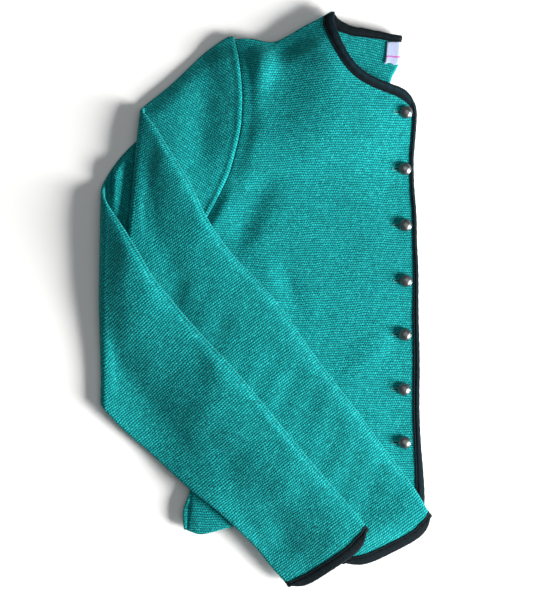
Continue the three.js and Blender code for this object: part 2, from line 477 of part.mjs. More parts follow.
// fold of each sleeve: axis point, direction along it (downwards), outward direction, radius
function foldLine(a, b, radius) {
  const f = unit(sub(b, a)), out = [f[1], -f[0]];
  return { o: a, f, out: out[0] < 0 ? out : mul(out, -1), a: radius };
}
const foldA = foldLine([-126.6, 197.5], [-139.0, 71.5], () => FOLD_A);
const foldB = foldLine([-163.4, 106.0], [-167.2, -104.0], (q) => 7.6 - 3.2 * ramp(95, 200, q));

// ---- lower half ---------------------------------------------------------------------------------
const sepB = halfB.arm.map((p, i) => {
  const a = halfB.arm[Math.max(0, i - 1)], b = halfB.arm[Math.min(N_ARM, i + 1)], t = unit(sub(b, a));
  return add(p, mul([-t[1], t[0]], SEAM + (i === 0 ? 1.0 : i === N_ARM ? 0.4 : 0.1)));
}).reverse();                                     // shoulder tip -> armpit, a seam away from the body
const outB = halfB.side.map((p, i) => (i === N_SIDE ? ARMPIT_OUT : [-1, 0]));

const frontLeft = sheet();
const flPlan = coons(
  [...halfB.side, ...halfB.arm.slice(1)],
  spaced(FRONT_FOLD, N_SIDE + N_ARM),
  [...spaced([halfB.side[0], [-70, -238.8], ...HEM_B.slice(2)], N_SHOULDER + N_NECK)],
  [...halfB.shoulder, ...spaced([halfB.shoulder[N_SHOULDER], ...NECK_B.slice(1)], N_NECK).slice(1)]);
const flMain = panel(frontLeft, halfB, flPlan, zFL, zBB, { out: outB });
const flTop = N_SIDE + N_ARM;
const flFold = [];
const N_TURN = 6, N_LAP = 3;
const lapPlan = coons(spaced(FRONT_FOLD, flTop), spaced(UNDERLAP_EDGE, flTop), spaced([FRONT_FOLD[0], UNDERLAP_EDGE[0]], N_LAP), spaced(UNDERLAP_TOP, N_LAP));
for (let i = 0; i <= flTop; i++) {
  const strip = [flMain.rows[i][N_SHOULDER + N_NECK]], p = flPlan[i][N_SHOULDER + N_NECK], zn = zFL(...p);
  for (let k = 1; k <= N_TURN; k++) {
    const g = (Math.PI * k) / N_TURN, r = (Z_UNDERLAP - zn) / 2;
    strip.push(put(frontLeft, [p[0] + 3.0 * Math.sin(g), p[1], zn + r - r * Math.cos(g)], unit([Math.sin(g) / 3.0, 0, -Math.cos(g) / r])));
  }
  for (let k = 1; k <= N_LAP; k++) strip.push(put(frontLeft, [...lapPlan[i][k], Z_UNDERLAP]));
  flFold.push(strip);
}
grid(frontLeft, flFold);

const back = sheet();
const cb = spaced(CB_AXIS, flTop);
const N_BACK = N_SHOULDER + N_BACK_NECK;
const bbPlan = coons([...halfB.side, ...halfB.arm.slice(1)], cb,
  spaced([halfB.side[0], [-70, -238.8], [-50, -236.5], [-30, -232], [40, -231], [90, -231.2], cb[0]], N_BACK),
  [...halfB.shoulder, ...spaced([halfB.shoulder[N_SHOULDER], ...BACK_NECK_B.slice(1)], N_BACK_NECK).slice(1)]);
const baPlan = coons([...halfA.side, ...halfA.arm.slice(1)], cb,
  spaced([halfA.side[0], [-70.9, -245.5], [-52, -242.6], [-32.9, -237.9], [-5, -234.4], [60, -233.5], cb[0]], N_BACK),
  [...halfA.shoulder, ...spaced([halfA.shoulder[N_SHOULDER], ...sideways(BACK_NECK_A, -BIND_OUT).slice(1, -1), BACK_NECK_A[BACK_NECK_A.length - 1]], N_BACK_NECK).slice(1)]);

// left sleeve's upper arm lies on the floor
const zArmB = () => LAYER + HALF;
const sleeveB = sleeve(SLEEVE_B, foldB, sepB, zArmB, LAYER);
const legB = thicken(sleeveB.build(null, N_LEG0 + 1).s);
const lowFront = thicken(frontLeft);

// ---- upper half drapes over the lower one ---------------------------------------------------------
const reference = (Z_BACK_HIGH + Z_FRONT_RIGHT) / 2;
{
  const foot = rasterise([legB, lowFront]);
  for (let j = 0; j < NY; j++) for (let i = 0; i < NX; i++) {
    const k = j * NX + i, x = cellX(i), y = cellY(j);
    if (foot[k] > 0 || (x > 100 && y > -245 && y < 290)) foot[k] = reference; else foot[k] = LAYER + HALF + 0.2;
  }
  const h = drape(widen(foot, 3));
  droop = (x, y) => Math.min(0, h(x, y) - reference) * (1 - ramp(20, 50, x)) * (1 - neck(x, y));
}
const zArmA = (x, y) => reference + droop(x, y);

const bbMain = panel(back, halfB, bbPlan, zBB, zFL, { out: outB });
const baMain = panel(back, halfA, baPlan, zBA, zFR, { out: outA });
// the second half is wound the other way: turn its faces over
{
  const start = baMain.rows[0][0];
  for (const f of back.f) if (Math.min(...f) >= start) f.reverse();
}
const cbRows = [];
for (let i = 0; i <= flTop; i++) {
  const a = bbMain.rows[i][N_BACK], b = baMain.rows[i][N_BACK], pa = back.p[a], pb = back.p[b], strip = [a];
  const r = (pb[2] - pa[2]) / 2;
  for (let k = 1; k < N_TURN; k++) {
    const g = (Math.PI * k) / N_TURN;
    strip.push(put(back, [pa[0] + r * Math.sin(g), pa[1] + (pb[1] - pa[1]) * (k / N_TURN), pa[2] + r - r * Math.cos(g)], [Math.sin(g), 0, -Math.cos(g)]));
  }
  strip.push(b);
  cbRows.push(strip);
}
grid(back, cbRows);

const frontRight = sheet();
const neckIn = sideways(spaced(NECK_A, 30), -BIND_OUT), edgeIn = sideways(spaced(EDGE_A, 40), -BIND_OUT);
const frTop = [...halfA.shoulder, ...spaced([halfA.shoulder[N_SHOULDER], ...neckIn.slice(2, -1), mix(neckIn[30], edgeIn[0], 0.5)], N_NECK).slice(1)];
const frRight = spaced([[EDGE_A[EDGE_A.length - 1][0] - BIND_OUT, EDGE_A[EDGE_A.length - 1][1]], ...edgeIn.slice(1, -1).reverse(), frTop[frTop.length - 1]], flTop);
const frPlan = coons([...halfA.side, ...halfA.arm.slice(1)], frRight,
  spaced([halfA.side[0], ...HEM_A.slice(2, -1), frRight[0]], N_SHOULDER + N_NECK), frTop);
const frMain = panel(frontRight, halfA, frPlan, zFR, zBA, { out: outA });

// ---- bindings of the body ----------------------------------------------------------------------------
const idsFR = [...frMain.topRows.slice(1).reverse().map((r) => r[N_SHOULDER]),
  ...frMain.rows[flTop].slice(N_SHOULDER), ...frMain.rows.slice(0, flTop).reverse().map((r) => r[N_SHOULDER + N_NECK])];
const idsFL = [...flMain.topRows.slice(1).reverse().map((r) => r[N_SHOULDER]),
  ...flMain.rows[flTop].slice(N_SHOULDER), ...flFold[flTop].slice(1), ...flFold.slice(0, flTop).reverse().map((r) => r[r.length - 1])];
const idsBN = [...bbMain.topRows.slice(1).reverse().map((r) => r[N_SHOULDER]), ...bbMain.rows[flTop].slice(N_SHOULDER),
  ...cbRows[flTop].slice(1, -1), ...baMain.rows[flTop].slice(N_SHOULDER).reverse(), ...baMain.topRows.slice(1).map((r) => r[N_SHOULDER])];
const curlInner = (panelRows, total) => {          // the stations on the shoulder's turned edge
  const a = new Array(total);
  panelRows.slice(1).reverse().forEach((r, i) => { a[i] = r[N_SHOULDER - 1]; });
  return a;
};
const towards = (s, frames, inner) => {            // make every e point into the cloth
  const c = frames.map((q) => q);
  if (dot(c[inner.i].e, sub(inner.p, c[inner.i].p)) < 0) for (const q of c) if (!q.fixed) q.e = mul(q.e, -1);
  return c;
};
const edgeWidth = (p) => {                        // wide round the neck, narrow along the buttons
  if (p[1] > 190) return 5.2 + (10.5 - 5.2) * ramp(8, 32, len(sub([p[0], p[1]], [158, 192])));
  let i = 1;
  while (i < EDGE_WIDTH.length - 1 && EDGE_WIDTH[i][0] < p[1]) i++;
  const a = EDGE_WIDTH[i - 1], b = EDGE_WIDTH[i];
  return a[1] + (b[1] - a[1]) * clamp((p[1] - a[0]) / (b[0] - a[0]), 0, 1);
};
const bindFR = bind(towards(frontRight, edgeFrames(frontRight, idsFR, curlInner(frMain.topRows, idsFR.length)), { i: 20, p: [60, 0, 9] }), false, (p) => edgeWidth(p) - BIND_OUT);
const innerFL = curlInner(flMain.topRows, idsFL.length);
for (let k = 1; k <= N_TURN; k++) innerFL[N_CURL + N_NECK + k] = flFold[flTop - 1][k];
const bindFL = bind(towards(frontLeft, edgeFrames(frontLeft, idsFL, innerFL), { i: 6, p: [60, 0, 1] }));
const innerBN = curlInner(bbMain.topRows, idsBN.length);
baMain.topRows.slice(1).forEach((r, i) => { innerBN[idsBN.length - N_CURL + i] = r[N_SHOULDER - 1]; });
for (let k = 0; k <= N_TURN; k++) innerBN[N_CURL + N_BACK_NECK + k] = cbRows[flTop - 1][k];
const neckWidth = (p) => 9.5 - 3.2 * ramp(95, 130, p[0]);
const bindBN = bind(towards(back, edgeFrames(back, idsBN, innerBN), { i: 5, p: [60, 0, 3] }), false, (p) => neckWidth(p) - BIND_OUT);

// ---- right sleeve and left sleeve ----------------------------------------------------------------------
const sepA = halfA.arm.map((p, i) => {
  const a = halfA.arm[Math.max(0, i - 1)], b = halfA.arm[Math.min(N_ARM, i + 1)], t = unit(sub(b, a));
  return add(p, mul([-t[1], t[0]], SEAM + (i === 0 ? 1.0 : i === N_ARM ? 0.4 : 0.1)));
}).reverse();
const sleeveA = sleeve(SLEEVE_A, foldA, sepA, zArmA, LAYER);
const legA = thicken(sleeveA.build(null, N_LEG0 + 1).s);
const body = [thicken(frontRight), thicken(back), lowFront, bindFR, bindFL];
// least height of a forearm's middle over what is under it; its bound end is thicker
const rise = (solids, cuff) => {
  const h = widen(rasterise(solids), 3);
  return h.map((v, k) => {
    const d = distanceTo(cuff, [cellX(k % NX), cellY(Math.floor(k / NX))]);
    return v + STACK_GAP + LEG_LAYER + HALF + 2.2 * (1 - ramp(20, 40, d));
  });
};
const CUFF_LINE_A = [[170, -222], [78, -277]], CUFF_LINE_B = [[106, -240], [24, -302]];
const inFold = (fold, x, y) => dot(sub([x, y], fold.o), fold.out);
const legAtA = rise([...body, legA, legB], CUFF_LINE_A);
for (let k = 0; k < legAtA.length; k++) legAtA[k] = Math.max(legAtA[k], LEG_LAYER + HALF + 0.2);
const zForeA = drape(legAtA, (x, y) => (inFold(foldA, x, y) > -2 ? zArmA(x, y) + 2 * FOLD_A : NaN));
const armA = sleeveA.build(zForeA);
const solidA = thicken(armA.s);
const cuffA = bind(towards(armA.s, edgeFrames(armA.s, armA.ids[armA.ids.length - 1], armA.ids[armA.ids.length - 2], true), { i: 3, p: [0, 0, 15] }), true);

const legAtB = rise([...body, solidA, cuffA, legB], CUFF_LINE_B);
for (let k = 0; k < legAtB.length; k++) legAtB[k] = Math.max(legAtB[k], LEG_LAYER + HALF + 0.2);
const zForeB = drape(legAtB, (x, y) => {
  if (inFold(foldB, x, y) <= -2) return NaN;
  const q = dot(sub([x, y], foldB.o), foldB.f);
  return zArmB() + 2 * foldB.a(q);
});
const armB = sleeveB.build(zForeB);
const solidB = thicken(armB.s);
const cuffB = bind(towards(armB.s, edgeFrames(armB.s, armB.ids[armB.ids.length - 1], armB.ids[armB.ids.length - 2], true), { i: 3, p: [0, 0, 15] }), true);

// ---- label round the centre-back fold ---------------------------------------------------------------------
const label = sheet();
{
  const rows = [];
  const cbAt = along([...CB_AXIS].reverse());
  for (let i = 0; i <= 3; i++) {
    const y = 271.8 - (23.0 * i) / 3;
    let t = 0;
    while (cbAt(t)[1] > y && t < 1) t += 0.001;
    const x = cbAt(t)[0], zl = zBB(x, y), zh = zBA(x, y), r = (zh - zl) / 2 + HALF + SEAM + 0.25, c = (zh + zl) / 2, row = [];
    for (const w of [11.6, 5.8, 0]) row.push(put(label, [x - w, y - w * 0.16, c - r]));
    for (let k = 1; k < N_TURN; k++) row.push(put(label, [x + r * Math.sin((Math.PI * k) / N_TURN), y, c - r * Math.cos((Math.PI * k) / N_TURN)]));
    for (const w of [0, 5.8, 11.6]) row.push(put(label, [x - w, y, c + r]));
    rows.push(row);
  }
  grid(label, rows);
}

// ---- meshes ----------------------------------------------------------------------------------------------------
const mat = (color, roughness, metalness = 0) => new THREE.MeshStandardMaterial({ color, roughness, metalness });
const WOOL = () => mat(0x1c9092, 0.95), BINDING = () => mat(0x0c2630, 0.85), METAL = () => mat(0x6f7b7c, 0.35, 0.9);
const group = new THREE.Group();
function addMesh(name, solid, material) {
  const g = new THREE.BufferGeometry();
  g.setAttribute('position', new THREE.Float32BufferAttribute(solid.p.flat(), 3));
  g.setIndex(solid.f.flat());
  g.computeVertexNormals();
  const m = new THREE.Mesh(g, material);
  m.name = name;
  group.add(m);
}
// buttonholes: one slot for each button, cut through the right front
function cutSlots(solid) {
  const m = wasm.Manifold.ofMesh(new wasm.Mesh({ numProp: 3, vertProperties: new Float32Array(solid.p.flat()), triVerts: new Uint32Array(solid.f.flat()) }));
  let r = m;
  for (const [x, y] of BUTTONS) r = r.subtract(wasm.Manifold.cube([SLOT_L, SLOT_W, 12], true).translate([x + 1.4 - SLOT_L / 2, y, zFR(x, y)]));
  const o = r.getMesh(), p = [], f = [];
  for (let i = 0; i < o.vertProperties.length; i += o.numProp) p.push([...o.vertProperties.slice(i, i + 3)]);
  for (let i = 0; i < o.triVerts.length; i += 3) f.push([...o.triVerts.slice(i, i + 3)]);
  return { p, f };
}
// button: dome over the right front, shank down to the underlap
function button(x, y, i) {
  const low = Z_UNDERLAP + (i ? HALF : BIND_HALF) + SEAM, base = zFR(x, y) + BIND_HALF + 0.35, R = BUTTON_D / 2, prof = [[0, low], [SHANK_R, low], [SHANK_R, base]];
  prof.push([R * 0.86, base], [R, base + 0.8]);
  for (let k = 1; k <= 5; k++) { const a = (k / 5) * Math.PI / 2; prof.push([k === 5 ? 0 : R * Math.cos(a), base + 0.8 + (BUTTON_H - 0.8) * Math.sin(a)]); }
  const n = 20, p = [], f = [], ring = prof.map(([r, z]) => {
    if (r === 0) { p.push([x, y, z]); return [p.length - 1]; }
    const ids = [];
    for (let i = 0; i < n; i++) { p.push([x + r * Math.cos((2 * Math.PI * i) / n), y + r * Math.sin((2 * Math.PI * i) / n), z]); ids.push(p.length - 1); }
    return ids;
  });
  for (let k = 0; k + 1 < ring.length; k++) for (let i = 0; i < n; i++) {
    const a = ring[k], b = ring[k + 1], j = (i + 1) % n;
    if (a.length === 1) f.push([a[0], b[j], b[i]]);
    else if (b.length === 1) f.push([a[i], a[j], b[0]]);
    else f.push([a[i], a[j], b[j]], [a[i], b[j], b[i]]);
  }
  if (volume(p, f) < 0) for (const q of f) q.reverse();
  return { p, f };
}

addMesh('front_right', cutSlots(body[0]), WOOL());
addMesh('front_left', lowFront, WOOL());
addMesh('back', body[1], WOOL());
addMesh('sleeve_right', solidA, WOOL());
addMesh('sleeve_left', solidB, WOOL());
addMesh('binding_front_right', bindFR, BINDING());
addMesh('binding_front_left', bindFL, BINDING());
addMesh('binding_neck_back', bindBN, BINDING());
addMesh('binding_cuff_right', cuffA, BINDING());
addMesh('binding_cuff_left', cuffB, BINDING());
BUTTONS.forEach(([x, y], i) => addMesh(`button_${i + 1}`, button(x, y, i), METAL()));
addMesh('label', thicken(label, 0.5), mat(0xc6d2f0, 0.6));
group.position.set(...OFFSET);

export default group;
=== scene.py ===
import math

import bpy
import numpy as np
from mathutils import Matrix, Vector


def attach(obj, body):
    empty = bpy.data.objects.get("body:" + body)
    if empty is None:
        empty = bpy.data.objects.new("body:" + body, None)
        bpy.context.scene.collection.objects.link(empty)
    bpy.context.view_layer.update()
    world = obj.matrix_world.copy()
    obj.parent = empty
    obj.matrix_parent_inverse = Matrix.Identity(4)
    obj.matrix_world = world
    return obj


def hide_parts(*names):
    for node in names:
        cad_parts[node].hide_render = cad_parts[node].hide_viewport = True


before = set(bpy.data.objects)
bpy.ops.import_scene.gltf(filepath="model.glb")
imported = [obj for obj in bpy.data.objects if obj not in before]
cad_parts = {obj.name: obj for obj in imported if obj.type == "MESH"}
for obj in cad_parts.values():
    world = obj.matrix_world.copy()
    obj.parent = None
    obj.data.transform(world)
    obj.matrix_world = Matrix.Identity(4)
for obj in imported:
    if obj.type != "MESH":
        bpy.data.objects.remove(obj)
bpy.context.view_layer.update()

# ---- sizes ---------------------------------------------------------------------------
CLOTH = 1.5
HALF = CLOTH / 2
LAYER = 1.45
LEG_LAYER = 2.2
SEAM = 0.3
Z_FRONT_LEFT, Z_BACK_LOW, Z_BACK_HIGH, Z_FRONT_RIGHT, Z_UNDERLAP = 0.75, 3.65, 6.85, 9.75, 6.9
LIFT_FL, LIFT_BL, LIFT_BH, LIFT_FR = 1.1, 1.85, 2.35, 3.3
BIND_HALF, BIND_SLOT, BIND_LIP, BIND_OUT = 1.65, 1.05, 7.6, 1.9
FOLD_A = 3.2
STACK_GAP = 0.45
SAG = 0.035
OFFSET = np.array([0.72, -2.37, 0.0])
INSET = LAYER + HALF
NS, NA, NH, NN = 104, 84, 34, 50      # side, armhole, shoulder, neck divisions
NBN = 34                              # back neck
TOP = NS + NA
NCURL = 7

# ---- outlines, columns x, y ------------------------------------------------------------
SIDE_A = [[-85.8, -242.1], [-86.8, -231.6], [-86.0, -218.2], [-81.1, -205.1], [-75.8, -178.9],
  [-70.6, -136.7], [-67.4, -84.0], [-67.4, -31.3], [-69.0, 21.4], [-70.5, 76.2]]
ARM_A = [[-31.1, 276.4], [-26.3, 247.9], [-23.7, 220.1], [-24.0, 196.0], [-26.4, 174.3],
  [-35.7, 138.1], [-45.2, 116.2], [-58.6, 91.0], [-70.5, 76.2]]
SHOULDER_A = [[-31.1, 276.6], [-12.9, 275.3], [7.2, 271.5], [23.2, 277.3], [40.1, 286.5], [58.0, 295.5], [70.6, 303.5]]
NECK_A = [[70.6, 303.5], [73.1, 291.9], [78.0, 277.5], [85.2, 261.7], [93.8, 248.5], [104.6, 238.8],
  [117.0, 232.0], [131.1, 226.7], [142.6, 222.4], [150.1, 217.4], [155.9, 209.0], [158.8, 200.0], [159.4, 190.4]]
EDGE_A = [[159.4, 190.4], [158.0, 171.4], [156.4, 146.3], [157.3, 118.0], [159.5, 91.1], [160.3, 57.5],
  [161.6, 30.6], [161.8, -14.0], [163.0, -63.4], [162.7, -112.8], [164.1, -148.2], [166.6, -179.0], [168.1, -204.9], [167.4, -227.5]]
HEM_A = [[-85.8, -242.1], [-79.6, -245.2], [-70.9, -245.9], [-62.1, -245.5], [-51.9, -242.9], [-32.9, -237.9],
  [-5.2, -234.4], [37.0, -235.5], [79.1, -235.6], [121.3, -232.0], [150.0, -228.8], [165.6, -227.5]]
BACK_NECK_A = [[70.6, 303.5], [78.1, 296.3], [87.8, 290.7], [95.1, 288.2], [104.8, 286.8], [115.6, 284.6],
  [126.6, 282.4], [136.2, 279.8], [141.2, 277.8]]
# axis of the centre-back fold, hem to neck
CB_AXIS = [[128.4, -231.4], [127.4, -105.2], [125.2, 0.3], [124.2, 105.9], [124.2, 169.2],
  [125.8, 211.4], [131.0, 234.0], [136.2, 244.2], [139.5, 254.0], [141.2, 277.8]]
# the same for the lower half, which lies slightly inside
SIDE_B = [[-81.5, -236.0], [-82.3, -226.0], [-81.5, -213.0], [-77.0, -200.0], [-71.5, -178.0],
  [-66.5, -136.0], [-63.2, -84.0], [-63.0, -31.0], [-65.0, 10.0], [-67.4, 52.0]]
ARM_B = [[-39.2, 265.0], [-34.0, 236.0], [-31.0, 208.0], [-30.6, 184.0], [-32.0, 160.0],
  [-39.5, 121.0], [-47.0, 97.0], [-57.5, 70.0], [-67.4, 52.0]]
SHOULDER_B = [[-39.2, 265.0], [-20.0, 264.0], [3.0, 261.5], [21.0, 266.0], [38.0, 274.5], [54.0, 282.5], [67.0, 290.5]]
NECK_B = [[67.0, 290.5], [69.6, 279.0], [75.0, 263.0], [82.5, 247.0], [92.0, 236.0], [104.0, 227.0],
  [118.0, 220.0], [133.0, 213.5], [149.2, 205.0]]
HEM_B = [[-81.5, -236.0], [-74.0, -238.6], [-66.0, -239.0], [-50.0, -236.5], [-30.0, -232.0],
  [0.0, -229.5], [40.0, -229.5], [80.0, -229.0], [120.0, -226.8], [156.6, -224.0]]
BACK_NECK_B = [[67.0, 290.5], [76.0, 283.0], [87.0, 278.5], [100.0, 276.5], [114.0, 275.5], [127.0, 275.6], [135.0, 276.6], [141.2, 277.8]]
FRONT_FOLD = [[156.6, -224.0], [149.2, 205.0]]          # fold axis of the left front
UNDERLAP_TOP = [[149.2, 205.0], [145.0, 203.0], [140.5, 198.5], [137.8, 191.0], [137.0, 180.0]]
UNDERLAP_EDGE = [[136.4, -223.5], [136.4, -100.0], [136.8, 50.0], [137.0, 180.0]]

# button centres, columns x, y
BUTTONS = [[147.5, 196.6], [146.8, 138.0], [147.5, 78.9], [148.0, 20.5], [147.1, -36.0], [146.0, -93.4], [146.4, -149.3]]
# visible width of the right front's binding down the front edge, columns y, width
EDGE_WIDTH = [[-227, 10.5], [-205, 10.0], [-179, 8.8], [-148, 7.4], [-63, 7.2], [-14, 6.5], [57, 5.0], [118, 4.7], [190, 5.0]]

# ---- sleeves, in the plane of the cloth before folding, columns s (along), v (across) --
SLEEVE_A = dict(
  o= [-51.9, 177.2], d=[-0.745, -0.667],
  over= [[-82.2, -61.3], [-77.2, -66.3], [-64.3, -68.8], [-51.8, -70.4], [-41.3, -70.9], [-26.1, -70.4], [-7.0, -69.6],
    [8.1, -69.6], [29.2, -70.9], [50.0, -72.2], [73.5, -72.0], [91.1, -70.4], [110.6, -69.0], [132.1, -67.2],
    [152.6, -63.7], [175.0, -59.0], [198.2, -56.9], [218.2, -56.7], [237.1, -57.9], [262.4, -61.7], [296.3, -63.9],
    [343.1, -62.5], [392.6, -62.0], [433.6, -62.8], [484.5, -62.0], [531.0, -62.2], [567.5, -58.6]],
  under= [[80.9, 61.8], [110.0, 62.5], [150.0, 63.0], [200.0, 64.5], [260.0, 65.0], [300.0, 64.0], [343.0, 61.0],
    [400.0, 56.5], [450.0, 50.5], [500.0, 46.5], [553.5, 46.0]],
  cuffBow=12.5, cuffPower=4,
)
SLEEVE_B = dict(
  o= [-48.8, 153.0], d=[-0.66, -0.75],
  over= [[-88.7, -50.5], [-80.0, -54.0], [-54.1, -60.3], [-25.0, -66.0], [-7.4, -69.0], [20.0, -73.0], [44.2, -75.6],
    [59.4, -77.0], [73.2, -77.0], [86.6, -75.8], [100.3, -73.4], [116.0, -70.8], [131.0, -68.9], [148.9, -67.3], [165.4, -65.9],
    [193.3, -62.2], [211.1, -59.2], [226.2, -57.7], [248.9, -57.6], [270.5, -56.7], [303.1, -56.0], [349.1, -55.8],
    [379.8, -55.8], [427.5, -55.8], [484.0, -56.5], [535.0, -58.4], [558.0, -57.0]],
  under= [[88.0, 52.1], [120.0, 57.5], [160.0, 66.0], [210.0, 74.5], [250.0, 78.5], [291.7, 78.9], [320.0, 76.8], [351.8, 71.2],
    [381.0, 66.7], [410.1, 61.8], [426.1, 57.8], [444.2, 53.9], [469.8, 50.0], [500.5, 47.2], [524.3, 47.4], [554.5, 46.4]],
  cuffBow=9.5, cuffPower=5,
)

# ---- vectors, curves -------------------------------------------------------------------
def unit(v):
    v = np.asarray(v, float)
    return v / np.maximum(np.linalg.norm(v, axis=-1, keepdims=True), 1e-12)


def ramp(a, b, v):
    t = np.clip((np.asarray(v, float) - a) / (b - a), 0, 1)
    return t * t * (3 - 2 * t)


def curve(table, per=24):
    """Smooth curve through the rows of a table, all its columns."""
    p = np.asarray(table, float)
    n = len(p)
    t = np.linspace(0, n - 1, (n - 1) * per + 1)
    i = np.minimum(t.astype(int), n - 2)
    w = (t - i)[:, None]
    p0, p1, p2, p3 = p[np.maximum(i - 1, 0)], p[i], p[i + 1], p[np.minimum(i + 2, n - 1)]
    v0, v1 = (p2 - p0) / 2, (p3 - p1) / 2
    return (2 * p1 - 2 * p2 + v0 + v1) * w**3 + (-3 * p1 + 3 * p2 - 2 * v0 - v1) * w**2 + v0 * w + p1


def lengths(p):
    return np.concatenate([[0], np.cumsum(np.linalg.norm(np.diff(p, axis=0), axis=1))])


def at(dense, t):
    s = lengths(dense)
    x = np.asarray(t, float) * s[-1]
    return np.stack([np.interp(x, s, dense[:, k]) for k in range(dense.shape[1])], -1)


def spaced(table, n, power=1.0):
    return at(curve(table), np.linspace(0, 1, n + 1) ** power)


def sideways(p, k):
    a = np.concatenate([p[:1], p[:-1]])
    b = np.concatenate([p[1:], p[-1:]])
    t = unit(b - a)
    return p + np.stack([-t[:, 1], t[:, 0]], -1) * k


def distance(line, P):
    P2 = P.reshape(-1, 2)
    best = np.full(len(P2), 1e9)
    line = np.asarray(line, float)
    for a, b in zip(line[:-1], line[1:]):
        e = b - a
        t = np.clip(((P2 - a) @ e) / (e @ e or 1), 0, 1)
        best = np.minimum(best, np.hypot(*(P2 - a - t[:, None] * e).T))
    return best.reshape(P.shape[:-1])


def inside(poly, P):
    P2 = P.reshape(-1, 2)
    c = np.zeros(len(P2), bool)
    poly = np.asarray(poly, float)
    for a, b in zip(poly, np.roll(poly, 1, axis=0)):
        if a[1] == b[1]:
            continue
        hit = ((a[1] > P2[:, 1]) != (b[1] > P2[:, 1])) & (P2[:, 0] < (b[0] - a[0]) * (P2[:, 1] - a[1]) / (b[1] - a[1]) + a[0])
        c ^= hit
    return c.reshape(P.shape[:-1])


def px(x, y, z=10.0):
    """Plan point seen at that place of a 550 x 597 picture taken from 1.6 m straight above."""
    k = 1.06 * (1 - z / 1600)
    return (x - 275) * k + 10.6, (298.5 - y) * k + 1.908


def waves(P, seed, length, count=9):
    """Smooth unevenness from a few crossing waves, about -1 to 1."""
    rng = np.random.default_rng(seed)
    out = np.zeros(P.shape[:-1])
    for _ in range(count):
        a, w, f = rng.uniform(0, 2 * math.pi), length * rng.uniform(0.7, 1.6), rng.uniform(0, 2 * math.pi)
        out += np.sin((P[..., 0] * math.cos(a) + P[..., 1] * math.sin(a)) * 2 * math.pi / w + f)
    return out / count * 1.7


def waves1(s, seed, length, count=6):
    rng = np.random.default_rng(seed)
    out = np.zeros(np.shape(s))
    for _ in range(count):
        w, f = length * rng.uniform(0.6, 1.7), rng.uniform(0, 2 * math.pi)
        out += np.sin(np.asarray(s) * 2 * math.pi / w + f)
    return out / count * 1.6


def relief(P, creases, z=10.0):
    """Sum of soft ridges and troughs.  Columns: picture x, y, height mm, width to the picture's left
    of a line drawn downwards, width to its right."""
    P2 = P.reshape(-1, 2)
    out = np.zeros(len(P2))
    for c in creases:
        c = curve([(*px(r[0], r[1], z), *r[2:]) for r in c], 5)
        near, val = np.full(len(P2), 1e9), np.zeros(len(P2))
        for a, b in zip(c[:-1], c[1:]):
            e = b[:2] - a[:2]
            r = P2 - a[:2]
            t = np.clip((r @ e) / (e @ e or 1), 0, 1)
            d = np.hypot(*(r - t[:, None] * e).T)
            left = e[0] * r[:, 1] - e[1] * r[:, 0] < 0
            row = a[None, 2:] + (b - a)[None, 2:] * t[:, None]
            w = np.where(left, row[:, 1], row[:, 2])
            m = d < near
            near[m] = d[m]
            val[m] = (row[:, 0] * np.exp(-((d / w) ** 2)))[m]
        out += val
    return out.reshape(P.shape[:-1])


# ---- sheets: middle surfaces of quads, thickened into closed walls ----------------------
class Sheet:
    def __init__(self):
        self.P, self.n, self.Q, self.UV = [], 0, [], []

    def put(self, pts):
        pts = np.asarray(pts, float)
        ids = np.arange(self.n, self.n + pts[..., 0].size).reshape(pts.shape[:-1])
        self.P.append(pts.reshape(-1, 3))
        self.n += ids.size
        return ids

    def grid(self, ids, uv, close=False):
        if close:
            ids = np.concatenate([ids, ids[:, :1]], 1)
        pick = [(slice(None, -1), slice(None, -1)), (slice(None, -1), slice(1, None)), (slice(1, None), slice(1, None)), (slice(1, None), slice(None, -1))]
        self.Q.append(np.stack([ids[a].ravel() for a in pick], -1))
        self.UV.append(np.stack([uv[a].reshape(-1, 2) for a in pick], 1))

    def arrays(self):
        return np.concatenate(self.P), np.concatenate(self.Q), np.concatenate(self.UV)


def normals(P, Q):
    n = np.zeros_like(P)
    c = np.cross(P[Q[:, 2]] - P[Q[:, 0]], P[Q[:, 3]] - P[Q[:, 1]])
    for k in range(4):
        np.add.at(n, Q[:, k], c)
    return unit(n)


def rim(Q, UV, n):
    a, b = Q.ravel(), np.roll(Q, -1, axis=1).ravel()
    ua, ub = UV.reshape(-1, 2), np.roll(UV, -1, axis=1).reshape(-1, 2)
    free = ~np.isin(a * n + b, b * n + a) & (a != b)
    return a[free], b[free], ua[free], ub[free]


def thicken(s, t=CLOTH, round_=0.8):
    P, Q, UV = s.arrays()
    N = normals(P, Q)
    m = len(P)
    a, b, ua, ub = rim(Q, UV, m)
    half = np.full(m, t / 2)
    edge = P[np.unique(a)]
    if len(edge):
        d = np.full(m, 1e9)
        for k in range(0, len(edge), 64):
            d = np.minimum(d, np.linalg.norm(P[:, None] - edge[None, k:k + 64], axis=2).min(1))
        q = np.clip(d / round_, 0, 1)
        half *= np.maximum(0.38, np.sqrt(1 - (1 - q) ** 2))
    V = np.concatenate([P + N * half[:, None], P - N * half[:, None]])
    F = np.concatenate([Q, Q[:, ::-1] + m, np.stack([b, a, a + m, b + m], -1)])
    W = np.concatenate([UV, UV[:, ::-1], np.stack([ub, ua, ua, ub], 1)])
    vol = (V[F[:, 0]] * (np.cross(V[F[:, 1]], V[F[:, 2]]) + np.cross(V[F[:, 2]], V[F[:, 3]]))).sum()
    if vol < 0:
        F, W = F[:, ::-1], W[:, ::-1]
    return V, F, W


# ---- heights ---------------------------------------------------------------------------
NECK_ZONE = [*NECK_A[:7], [128, 222], [141.2, 277.8], *BACK_NECK_A[::-1]]
NECK_LINE = [*NECK_ZONE, NECK_ZONE[0]]


